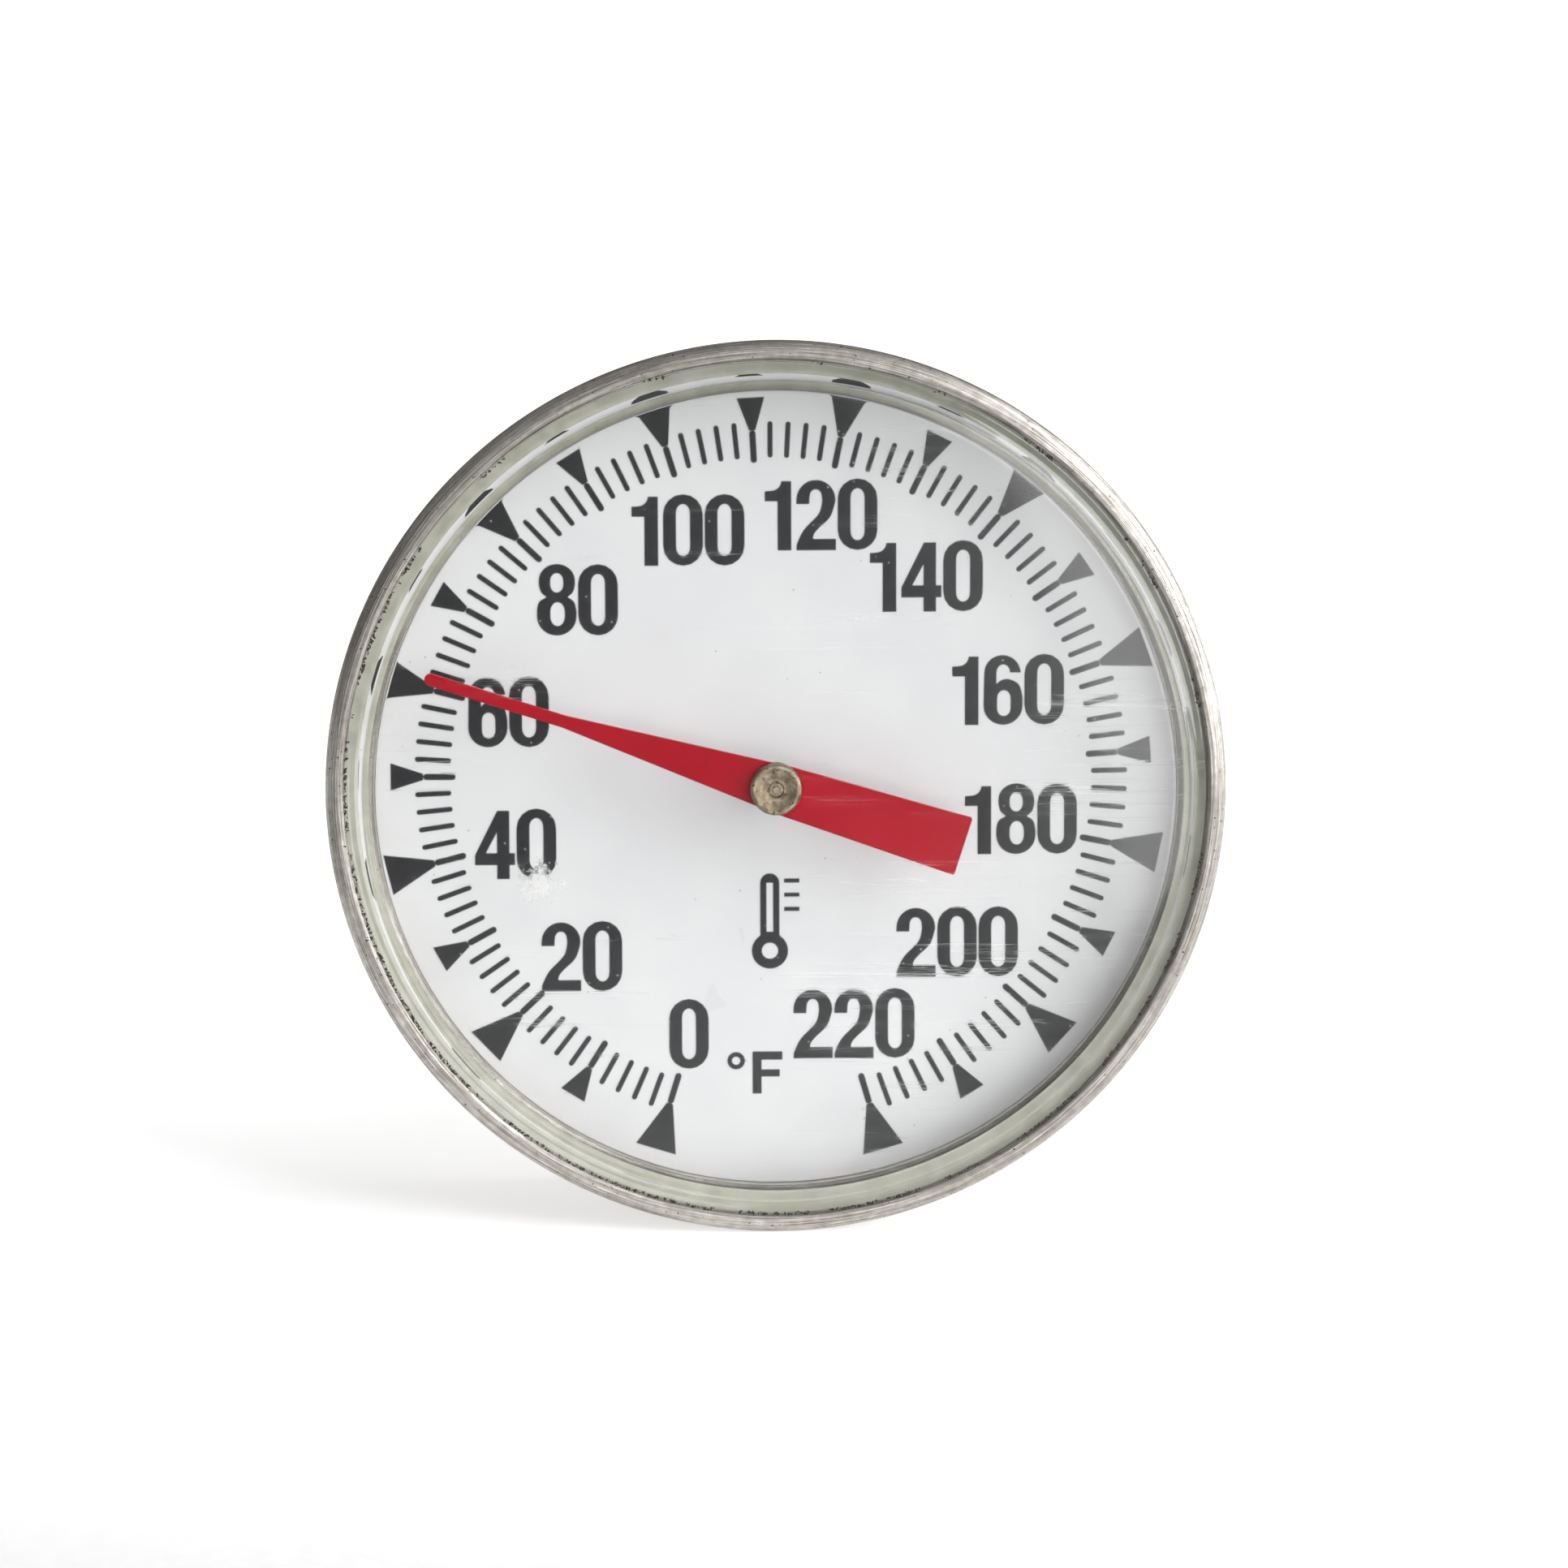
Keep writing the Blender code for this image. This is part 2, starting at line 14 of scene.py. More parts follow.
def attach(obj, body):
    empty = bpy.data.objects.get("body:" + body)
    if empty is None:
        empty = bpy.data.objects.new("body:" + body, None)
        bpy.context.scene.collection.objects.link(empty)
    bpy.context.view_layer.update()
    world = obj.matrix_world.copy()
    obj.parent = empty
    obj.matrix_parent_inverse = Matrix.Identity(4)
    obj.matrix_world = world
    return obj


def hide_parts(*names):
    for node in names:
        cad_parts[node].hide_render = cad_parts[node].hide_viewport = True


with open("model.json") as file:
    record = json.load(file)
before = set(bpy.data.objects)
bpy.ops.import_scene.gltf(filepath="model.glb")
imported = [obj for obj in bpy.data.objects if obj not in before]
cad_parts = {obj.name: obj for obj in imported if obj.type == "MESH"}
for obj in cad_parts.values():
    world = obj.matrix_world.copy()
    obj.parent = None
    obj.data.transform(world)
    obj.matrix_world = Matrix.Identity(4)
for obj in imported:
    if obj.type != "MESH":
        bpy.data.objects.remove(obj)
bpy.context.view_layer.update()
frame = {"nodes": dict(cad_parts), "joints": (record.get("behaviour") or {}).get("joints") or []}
scene = bpy.context.scene
scene.view_settings.view_transform = "Standard"

mm = 0.001
headTurn = next(joint for joint in frame["joints"] if joint["name"] == "head_turn")
dialCentre = Vector(headTurn["pos_m"])
lean = asin(-headTurn["axis"][2])  # the dial leans back by this much
dialTurn = Matrix.Rotation(pi / 2 - lean, 4, "X")
intoPlace = Matrix.Translation(dialCentre) @ dialTurn @ Matrix.Scale(mm, 4)
print("frame loaded, the dial leans back", round(lean * 180 / pi, 1), "degrees")


def localBox(node):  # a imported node's lowest and highest corners, in millimetres about the axis
    back = intoPlace.inverted()
    points = [back @ vertex.co for vertex in frame["nodes"][node].data.vertices]
    low = Vector([min(point[axis] for point in points) for axis in range(3)])
    high = Vector([max(point[axis] for point in points) for axis in range(3)])
    return low, high


def linear(hexColour):  # an sRGB hex value as linear red, green, blue and alpha
    parts = [int(hexColour[i : i + 2], 16) / 255 for i in (1, 3, 5)]
    return (*[c / 12.92 if c <= 0.04045 else ((c + 0.055) / 1.055) ** 2.4 for c in parts], 1.0)


def wire(tree, source, target):
    # a node stands for its first output in use, and a list fills a socket that joins several
    if isinstance(source, list):
        for part in reversed(source):
            wire(tree, part, target)
    elif isinstance(source, bpy.types.Node):
        tree.links.new(next(socket for socket in source.outputs if socket.enabled), target)
    elif isinstance(source, bpy.types.NodeSocket):
        tree.links.new(source, target)
    else:
        target.default_value = source


def addNode(tree, kind, inputs=None, stops=(), **settings):
    # inputs go by name or number; stops are the places and colours, or grey values, of a ramp
    made = tree.nodes.new(kind)
    for name, value in settings.items():
        setattr(made, name, value)
    for key, source in (inputs or {}).items():
        named = [socket for socket in made.inputs if socket.enabled and socket.name == key]
        wire(tree, source, named[0] if named else made.inputs[key])
    for i, (place, value) in enumerate(stops):
        elements = made.color_ramp.elements
        element = elements[i] if i < len(elements) else elements.new(1.0)
        element.position = place
        element.color = linear(value) if isinstance(value, str) else (value, value, value, 1.0)
    return made


def newMaterial(name, **shaderValues):  # the values are the same all over the surface
    made = bpy.data.materials.new(name)
    made.use_nodes = True
    shader = made.node_tree.nodes["Principled BSDF"]
    for label, value in shaderValues.items():
        shader.inputs[label.replace("_", " ")].default_value = value
    return made, made.node_tree, shader


def axisCoordinates(tree):  # millimetres about the stem's axis
    place = addNode(tree, "ShaderNodeTexCoord").outputs["Object"]
    return addNode(
        tree,
        "ShaderNodeMapping",
        {"Vector": place, "Location": dialCentre, "Rotation": (pi / 2 - lean, 0, 0), "Scale": (mm, mm, mm)},
        vector_type="TEXTURE",
    )


def lathed(name, profile, steps=192, closed=True):
    # a body of revolution; the (radius, height) points run down its outer side
    mesh = bpy.data.meshes.new(name)
    edges = [(i, i + 1) for i in range(len(profile) - 1)]
    if closed:
        edges.append((len(profile) - 1, 0))
    mesh.from_pydata([(radius, 0, height) for radius, height in profile], edges, [])
    obj = bpy.data.objects.new(name, mesh)
    screw = obj.modifiers.new("turn", "SCREW")
    screw.steps = screw.render_steps = steps
    screw.use_merge_vertices = True
    screw.merge_threshold = 0.0001
    return asMesh(obj)


def asMesh(obj):  # the evaluated shape, welded, with its faces pointing out, and the object gone
    scene.collection.objects.link(obj)
    bpy.context.view_layer.update()
    mesh = bpy.data.meshes.new_from_object(obj.evaluated_get(bpy.context.evaluated_depsgraph_get()))
    bpy.data.objects.remove(obj, do_unlink=True)
    whole = bmesh.new()
    whole.from_mesh(mesh)
    bmesh.ops.remove_doubles(whole, verts=whole.verts, dist=0.0005)
    bmesh.ops.recalc_face_normals(whole, faces=whole.faces)
    whole.to_mesh(mesh)
    whole.free()
    return mesh


def arc(centre, radii, start, end, steps=8):  # points from one angle to another, in degrees
    angles = [radians(start + (end - start) * i / steps) for i in range(steps + 1)]
    return [(centre[0] + radii[0] * cos(a), centre[1] + radii[1] * sin(a)) for a in angles]


def rounded(points, radius, steps=4):  # the outline with each inner corner eased by a small arc
    eased = [points[0]]
    for before, corner, after in zip(points, points[1:], points[2:]):
        here = Vector(corner)
        into = Vector(before) - here
        out = Vector(after) - here
        reach = min(radius, into.length * 0.45, out.length * 0.45)
        start = here + into.normalized() * reach
        end = here + out.normalized() * reach
        for i in range(steps + 1):
            share = i / steps
            eased.append(tuple(start.lerp(here, share).lerp(here.lerp(end, share), share)))
    return [*eased, points[-1]]


def flatShape(name, outlines, thickness, bevel=0.0):
    # closed outlines raised into a plate whose back is at Z = 0; an outline inside another is a hole
    path = bpy.data.curves.new(name, "CURVE")
    path.dimensions = "2D"
    path.fill_mode = "BOTH"
    path.extrude = thickness / 2 - bevel
    path.bevel_depth = bevel
    path.bevel_resolution = 2
    path.offset = -bevel
    for outline in outlines:
        spline = path.splines.new("POLY")
        spline.points.add(len(outline) - 1)
        for point, (x, y) in zip(spline.points, outline, strict=True):
            point.co = (x, y, 0, 1)
        spline.use_cyclic_u = True
    mesh = asMesh(bpy.data.objects.new(name, path))
    mesh.transform(Matrix.Translation((0, 0, thickness / 2)))
    return mesh


def finishPiece(name, mesh, material, body, replaced=(), sharp=40):
    mesh.name = name
    mesh.transform(intoPlace)
    mesh.materials.clear()
    mesh.materials.append(material)
    mesh.shade_smooth()
    mesh.set_sharp_from_angle(angle=radians(sharp))
    piece = bpy.data.objects.new(name, mesh)
    scene.collection.objects.link(piece)
    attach(piece, body)
    if replaced:
        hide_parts(*replaced)
    return piece


def newTree(name, sizes):  # a geometry node tree with a named input for each size
    kinds = {int: "NodeSocketInt", float: "NodeSocketFloat", bpy.types.Material: "NodeSocketMaterial"}
    tree = bpy.data.node_groups.new(name, "GeometryNodeTree")
    tree.interface.new_socket("Geometry", in_out="INPUT", socket_type="NodeSocketGeometry")
    tree.interface.new_socket("Geometry", in_out="OUTPUT", socket_type="NodeSocketGeometry")
    for label, value in sizes.items():
        tree.interface.new_socket(label, in_out="INPUT", socket_type=kinds[type(value)])
    return tree, tree.nodes.new("NodeGroupInput").outputs


def endTree(tree, geometry, material):
    single = addNode(tree, "GeometryNodeRealizeInstances", {"Geometry": geometry})
    painted = addNode(tree, "GeometryNodeSetMaterial", {"Geometry": single, "Material": material})
    addNode(tree, "NodeGroupOutput", {0: painted})


def runTree(tree, sizes, name):  # the tree's result as a plain mesh
    obj = bpy.data.objects.new(name, bpy.data.meshes.new(name))
    modifier = obj.modifiers.new("repeat", "NODES")
    modifier.node_group = tree
    for item in tree.interface.items_tree:
        if item.in_out == "INPUT" and item.name in sizes:
            modifier[item.identifier] = sizes[item.name]
    return asMesh(obj)


def makeTurnedMetal(name, look):
    # bare metal with the lay of the tool in it: lines that are fine across the profile and nearly
    # constant round the ring, with handling marks and grime in the low places
    made, tree, shader = newMaterial(name, Metallic=1.0)
    point = axisCoordinates(tree)
    apart = addNode(tree, "ShaderNodeSeparateXYZ", {0: point})
    flat = addNode(tree, "ShaderNodeCombineXYZ", {"X": apart.outputs["X"], "Y": apart.outputs["Y"]})
    radius = addNode(tree, "ShaderNodeVectorMath", {0: flat}, operation="LENGTH")
    direction = addNode(tree, "ShaderNodeVectorMath", {0: flat}, operation="NORMALIZE")
    along = addNode(tree, "ShaderNodeMath", {0: radius, 1: apart.outputs["Z"]}, operation="SUBTRACT")
    across = addNode(tree, "ShaderNodeMath", {0: along, 1: 1 / look["lineSpacing"]}, operation="MULTIPLY")
    drift = addNode(tree, "ShaderNodeVectorMath", {0: direction, "Scale": look["drift"]}, operation="SCALE")
    lines = addNode(
        tree,
        "ShaderNodeTexNoise",
        {"Vector": drift, "W": across, "Scale": 1.0, "Detail": 4.0, "Roughness": 0.65},
        noise_dimensions="4D",
    )
    patches = addNode(
        tree, "ShaderNodeTexNoise", {"Vector": point, "Scale": look["patchScale"], "Detail": 5.0}
    )
    pits = addNode(tree, "ShaderNodeTexNoise", {"Vector": point, "Scale": look["pitScale"], "Detail": 3.0})
    lined = addNode(tree, "ShaderNodeValToRGB", {0: lines}, zip((0.32, 0.5, 0.7), look["lay"]))
    worn = addNode(tree, "ShaderNodeValToRGB", {0: patches}, [(0.35, look["tarnish"]), (0.62, "#ffffff")])
    coloured = addNode(
        tree,
        "ShaderNodeMix",
        {"Factor": look["tarnishShare"], "A": lined, "B": worn},
        data_type="RGBA",
        blend_type="MULTIPLY",
    )
    pitted = addNode(
        tree, "ShaderNodeValToRGB", {0: pits}, [(look["pitStart"], 1.0), (look["pitStart"] + 0.05, 0.0)]
    )
    spotted = addNode(
        tree,
        "ShaderNodeMix",
        {"Factor": pitted, "A": coloured, "B": linear(look["pit"])},
        data_type="RGBA",
    )
    wire(tree, spotted, shader.inputs["Base Color"])
    roughest, smoothest = look["roughness"]
    dull = addNode(tree, "ShaderNodeValToRGB", {0: lines}, [(0.3, roughest), (0.7, smoothest)])
    patchy = addNode(tree, "ShaderNodeValToRGB", {0: patches}, [(0.35, 0.12), (0.65, 0.0)])
    roughness = addNode(tree, "ShaderNodeMath", {0: dull, 1: patchy}, operation="ADD")
    wire(tree, roughness, shader.inputs["Roughness"])
    depth = look["depth"] * mm
    grooves = addNode(
        tree, "ShaderNodeBump", {"Strength": look["bump"], "Distance": depth, "Height": lines}
    )
    dents = addNode(
        tree, "ShaderNodeBump", {"Strength": 0.4, "Distance": -depth, "Height": pitted, "Normal": grooves}
    )
    wire(tree, dents, shader.inputs["Normal"])
    return made


# what most of these metals share: how much of the tarnish shows, the pits and how the lay wanders
bareMetal = {"tarnishShare": 0.5, "pitStart": 0.3, "pitScale": 3.0, "drift": 2.0}
# 304 stainless, spun and brushed: warm grey, with a lay that runs round the rim and dark pits
spunSteel = makeTurnedMetal(
    "spunStainless",
    {
        **bareMetal,
        "lay": ("#7b766f", "#b2ada7", "#f0ede9"),
        "tarnish": "#b3aca2",
        "tarnishShare": 0.35,
        "pit": "#4a433c",
        "pitStart": 0.28,
        "pitScale": 5.0,
        "patchScale": 2.2,
        "lineSpacing": 0.075,
        "drift": 4.0,
        "roughness": (0.42, 0.2),
        "bump": 1.0,
        "depth": 0.035,
    },
)
# 304 stainless, deep drawn: satin, with shallow circular draw lines and a few scuffs
drawnSteel = makeTurnedMetal(
    "drawnStainless",
    {
        **bareMetal,
        "lay": ("#a39c95", "#bcb6b0", "#d2cdc8"),
        "tarnish": "#c4bbb0",
        "pit": "#6a645e",
        "pitStart": 0.28,
        "patchScale": 0.25,
        "lineSpacing": 0.22,
        "roughness": (0.36, 0.22),
        "bump": 0.35,
        "depth": 0.02,
    },
)
# 304 stainless tube, centreless ground: bright, with very fine lines round it
groundSteel = makeTurnedMetal(
    "groundStainless",
    {
        **bareMetal,
        "lay": ("#aaa59f", "#c2beb9", "#d8d5d1"),
        "tarnish": "#cfc8bf",
        "pit": "#77716b",
        "pitStart": 0.28,
        "pitScale": 2.5,
        "patchScale": 0.16,
        "lineSpacing": 0.16,
        "roughness": (0.28, 0.14),
        "bump": 0.25,
        "depth": 0.012,
    },
)
# 303 stainless bar, turned and left as cut: coarser feed lines
turnedSteel = makeTurnedMetal(
    "turnedStainless",
    {
        **bareMetal,
        "lay": ("#98928b", "#b3ada6", "#ccc7c1"),
        "tarnish": "#b9b0a5",
        "pit": "#5e5852",
        "patchScale": 0.4,
        "lineSpacing": 0.14,
        "roughness": (0.38, 0.2),
        "bump": 0.5,
        "depth": 0.02,
    },
)
# hardened and tempered spring steel: darker and bluer than stainless, lightly oiled
springSteel = makeTurnedMetal(
    "temperedSpringSteel",
    {
        **bareMetal,
        "lay": ("#5d6066", "#74777c", "#8f9296"),
        "tarnish": "#8a7c68",
        "tarnishShare": 0.4,
        "pit": "#33302d",
        "patchScale": 0.5,
        "lineSpacing": 0.3,
        "roughness": (0.4, 0.24),
        "bump": 0.3,
        "depth": 0.01,
    },
)
# nickel-plated brass worn to a dull straw grey, darker in the pits
agedBrass = makeTurnedMetal(
    "wornPlatedBrass",
    {
        **bareMetal,
        "lay": ("#7a6d5c", "#a1947f", "#c4b8a3"),
        "tarnish": "#a08e72",
        "tarnishShare": 0.6,
        "pit": "#4a3f33",
        "pitStart": 0.33,
        "pitScale": 5.0,
        "patchScale": 2.2,
        "lineSpacing": 0.2,
        "roughness": (0.5, 0.3),
        "bump": 0.5,
        "depth": 0.03,
    },
)
# rolled thermostat strip: grey nickel-iron, with a satin rolled lay
bimetalStrip = makeTurnedMetal(
    "thermostatStrip",
    {
        **bareMetal,
        "lay": ("#7c7771", "#8f8a84", "#a39e98"),
        "tarnish": "#a08c6e",
        "tarnishShare": 0.4,
        "pit": "#4a4540",
        "patchScale": 0.5,
        "lineSpacing": 0.25,
        "roughness": (0.45, 0.3),
        "bump": 0.3,
        "depth": 0.01,
    },
)


def makeEnamel(name, look):
    # stoved enamel on sheet metal: a smooth coat with a slight orange peel and a little dust in it
    made, tree, shader = newMaterial(name, IOR=1.5, Specular_IOR_Level=look["gloss"])
    point = axisCoordinates(tree)
    clouds = addNode(tree, "ShaderNodeTexNoise", {"Vector": point, "Scale": 0.18, "Detail": 3.0})
    tone = addNode(tree, "ShaderNodeValToRGB", {0: clouds}, [(0.3, look["dark"]), (0.7, look["light"])])
    dust = addNode(tree, "ShaderNodeTexVoronoi", {"Vector": point, "Scale": look["speckScale"]})
    edge = look["speckSize"]
    speck = addNode(tree, "ShaderNodeValToRGB", {0: dust}, [(edge, 1.0), (edge * 1.6, 0.0)])
    rare = addNode(tree, "ShaderNodeTexNoise", {"Vector": point, "Scale": 0.55, "Detail": 2.0})
    where = addNode(tree, "ShaderNodeValToRGB", {0: rare}, [(0.5, 0.0), (0.58, 1.0)])
    amount = addNode(tree, "ShaderNodeMath", {0: speck, 1: where}, operation="MULTIPLY")
    dusted = addNode(
        tree,
        "ShaderNodeMix",
        {"Factor": amount, "A": tone, "B": linear(look["speck"])},
        data_type="RGBA",
    )
    wire(tree, dusted, shader.inputs["Base Color"])
    peel = addNode(tree, "ShaderNodeTexNoise", {"Vector": point, "Scale": look["peelScale"], "Detail": 2.0})
    bump = addNode(
        tree, "ShaderNodeBump", {"Strength": look["peel"], "Distance": 0.01 * mm, "Height": peel}
    )
    wire(tree, bump, shader.inputs["Normal"])
    low, high = look["roughness"] - 0.03, look["roughness"] + 0.04
    sheen = addNode(tree, "ShaderNodeValToRGB", {0: clouds}, [(0.3, low), (0.7, high)])
    wire(tree, sheen, shader.inputs["Roughness"])
    return made


# white stoved enamel on aluminium sheet
whiteEnamel = makeEnamel(
    "whiteStovedEnamel",
    {
        "dark": "#dddde0",
        "light": "#e4e5e7",
        "speck": "#8a8680",
        "speckScale": 1.1,
        "speckSize": 0.035,
        "peelScale": 3.0,
        "peel": 0.25,
        "roughness": 0.3,
        "gloss": 0.5,
    },
)
# red enamel, dipped and stoved: a fuller, glossier body
redEnamel = makeEnamel(
    "redStovedEnamel",
    {
        "dark": "#a00018",
        "light": "#ad001c",
        "speck": "#7c0a12",
        "speckScale": 2.0,
        "speckSize": 0.04,
        "peelScale": 4.0,
        "peel": 0.2,
        "roughness": 0.2,
        "gloss": 0.2,
    },
)


ink = {
    "dark": "#161619",
    "light": "#202024",
    "bare": "#b5b4b4",
    "filmScale": 1.6,
    "holeScale": 1.5,
    "holeSize": 0.05,
    "holeEdge": 0.08,
    "grainScale": 14.0,
    "grain": 0.3,
    "grainDepth": 0.008,
    "roughness": (0.3, 0.42),
}


def makeInk(look):
    # pad-printing ink: a thin charcoal film with pinholes where the pad left the enamel bare
    made, tree, shader = newMaterial("charcoalPadInk", IOR=1.5, Specular_IOR_Level=0.3)
    point = axisCoordinates(tree)
    film = addNode(tree, "ShaderNodeTexNoise", {"Vector": point, "Scale": look["filmScale"], "Detail": 4.0})
    tone = addNode(tree, "ShaderNodeValToRGB", {0: film}, [(0.3, look["dark"]), (0.7, look["light"])])
    cells = addNode(tree, "ShaderNodeTexVoronoi", {"Vector": point, "Scale": look["holeScale"]})
    edge = [(look["holeSize"], 1.0), (look["holeEdge"], 0.0)]
    hole = addNode(tree, "ShaderNodeValToRGB", {0: cells}, edge)
    holed = addNode(
        tree, "ShaderNodeMix", {"Factor": hole, "A": tone, "B": linear(look["bare"])}, data_type="RGBA"
    )
    wire(tree, holed, shader.inputs["Base Color"])
    grain = addNode(tree, "ShaderNodeTexNoise", {"Vector": point, "Scale": look["grainScale"], "Detail": 2.0})
    depth = look["grainDepth"] * mm
    bump = addNode(tree, "ShaderNodeBump", {"Strength": look["grain"], "Distance": depth, "Height": grain})
    wire(tree, bump, shader.inputs["Normal"])
    smooth, rough = look["roughness"]
    sheen = addNode(tree, "ShaderNodeValToRGB", {0: grain}, [(0.3, smooth), (0.7, rough)])
    wire(tree, sheen, shader.inputs["Roughness"])
    return made


charcoalInk = makeInk(ink)


def makeMatter(name, look):
    # plain matter with no coat on it: cloudy in tone and sheen, with a fine grain
    made, tree, shader = newMaterial(name, IOR=look["ior"])
    point = axisCoordinates(tree)
    clouds = addNode(
        tree,
        "ShaderNodeTexNoise",
        {"Vector": point, "Scale": look["cloudScale"], "Detail": look["cloudDetail"]},
    )
    low, high = look["cloudEdges"]
    tone = addNode(tree, "ShaderNodeValToRGB", {0: clouds}, [(low, look["dark"]), (high, look["light"])])
    wire(tree, tone, shader.inputs["Base Color"])
    grain = addNode(
        tree,
        "ShaderNodeTexNoise",
        {"Vector": point, "Scale": look["grainScale"], "Detail": look["grainDetail"]},
    )
    depth = look["grainDepth"] * mm
    bump = addNode(tree, "ShaderNodeBump", {"Strength": look["grain"], "Distance": depth, "Height": grain})
    wire(tree, bump, shader.inputs["Normal"])
    smooth, rough = look["roughness"]
    sheen = addNode(tree, "ShaderNodeValToRGB", {0: clouds}, [(0.3, smooth), (0.7, rough)])
    wire(tree, sheen, shader.inputs["Roughness"])
    return made


# what moulded rubber shares: a slightly waxy surface with bloom on it
moulded = {
    "ior": 1.45,
    "cloudScale": 0.8,
    "cloudDetail": 5.0,
    "cloudEdges": (0.35, 0.65),
    "grainScale": 9.0,
    "grainDetail": 3.0,
    "grain": 0.4,
    "grainDepth": 0.02,
}
silicone = {**moulded, "dark": "#9a9a8b", "light": "#adac9f", "roughness": (0.5, 0.65)}
nitrile = {**moulded, "dark": "#1b1b1b", "light": "#2a2928", "roughness": (0.6, 0.75)}
paleSilicone = makeMatter("agedSilicone", silicone)
blackNitrile = makeMatter("blackNitrile", nitrile)
# flour dust and old grease packed into the joint: nearly black, crumbly
packedGrime = makeMatter(
    "packedGrime",
    {
        "ior": 1.5,
        "dark": "#1c1815",
        "light": "#4a4139",
        "cloudScale": 6.0,
        "cloudDetail": 4.0,
        "cloudEdges": (0.3, 0.7),
        "grainScale": 6.0,
        "grainDetail": 4.0,
        "grain": 0.6,
        "grainDepth": 0.03,
        "roughness": (0.75, 0.95),
    },
)


def makeCrystal(look):
    # moulded acrylic: clear, with hairline scratches and one scuffed patch
    made, tree, shader = newMaterial(
        "mouldedAcrylic", Base_Color=linear("#fcfdfc"), IOR=1.49, Transmission_Weight=1.0
    )
    point = axisCoordinates(tree)
    some = addNode(tree, "ShaderNodeTexNoise", {"Vector": point, "Scale": look["wearScale"], "Detail": 2.0})
    where = addNode(tree, "ShaderNodeValToRGB", {0: some}, [(0.5, 0.0), (0.62, 1.0)])
    # the scuff: a ragged patch on the front of the crystal
    away = addNode(tree, "ShaderNodeVectorMath", {0: point, 1: look["scuffPlace"]}, operation="DISTANCE")
    reach = addNode(tree, "ShaderNodeMath", {0: away, 1: look["scuffRadius"]}, operation="DIVIDE")
    near = addNode(tree, "ShaderNodeValToRGB", {0: reach}, [(0.0, 1.0), (1.0, 0.0)])
    ragged = addNode(
        tree,
        "ShaderNodeTexNoise",
        {"Vector": point, "Scale": look["scuffScale"], "Detail": 8.0, "Roughness": 0.75},
    )
    torn = addNode(tree, "ShaderNodeMath", {0: ragged, 1: near}, operation="MULTIPLY")
    start, full = look["scuffEdges"]
    marks = addNode(tree, "ShaderNodeValToRGB", {0: torn}, [(start, 0.0), (full, 1.0)])
    thread = [(0.69, 0.0), (0.693, look["hairStrength"]), (0.696, 0.0)]  # a narrow slice is a hairline
    for angle in look["hairAngles"]:
        turned = addNode(
            tree,
            "ShaderNodeMapping",
            {"Vector": point, "Rotation": (0, 0, radians(angle)), "Scale": (0.05, look["hairScale"], 0.05)},
        )
        line = addNode(
            tree, "ShaderNodeTexNoise", {"Vector": turned, "Scale": 1.0, "Detail": 1.0, "Distortion": 0.15}
        )
        thin = addNode(tree, "ShaderNodeValToRGB", {0: line}, thread)
        hair = addNode(tree, "ShaderNodeMath", {0: thin, 1: where}, operation="MULTIPLY")
        marks = addNode(tree, "ShaderNodeMath", {0: marks, 1: hair}, operation="MAXIMUM")
    dull = addNode(tree, "ShaderNodeValToRGB", {0: marks}, [(0.0, look["polish"]), (1.0, 0.35)])
    wire(tree, dull, shader.inputs["Roughness"])
    bump = addNode(tree, "ShaderNodeBump", {"Strength": 0.5, "Distance": 0.01 * mm, "Height": marks})
    wire(tree, bump, shader.inputs["Normal"])
    # lamps shine through it, and scuffs scatter a little of what passes
    scatter = addNode(tree, "ShaderNodeBsdfDiffuse", {"Color": linear("#e4e5e3")})
    veil = addNode(tree, "ShaderNodeMath", {0: marks, 1: look["scuffWhiteness"]}, operation="MULTIPLY")
    scuffed = addNode(tree, "ShaderNodeMixShader", {0: veil, 1: shader, 2: scatter})
    clear = addNode(tree, "ShaderNodeBsdfTransparent", {"Color": linear("#f8f8f8")})
    lampRay = addNode(tree, "ShaderNodeLightPath").outputs["Is Shadow Ray"]
    whole = addNode(tree, "ShaderNodeMixShader", {0: lampRay, 1: scuffed, 2: clear})
    wire(tree, whole, tree.nodes["Material Output"].inputs["Surface"])
    return made


clearAcrylic = makeCrystal(
    {
        "wearScale": 0.12,
        "hairAngles": (12, -35, 68, -78),
        "hairScale": 2.2,
        "hairStrength": 0.45,
        "scuffPlace": (-12.4, -4.6, 5.6),
        "scuffRadius": 3.4,
        "scuffScale": 1.6,
        "scuffEdges": (0.36, 0.46),
        "scuffWhiteness": 0.85,
        "polish": 0.07,
    }
)


print("materials made")


bezel = {
    "outerRadius": 23.5,
    "innerRadius": 22.5,
    "front": 4.9,
    "lipDrop": 0.12,
    "lipWall": 0.2,
    "lipRound": 0.08,
    "flatWidth": 0.24,
    "rollWidth": 0.66,
    "rollDepth": 0.75,
    "back": 2.15,
    "wall": 0.65,
    "curl": 0.38,
    "curlEdge": 22.45,
    "ripple": 0.009,
    "ripples": 9,
    "rollSteps": 72,
    "steps": 320,
}


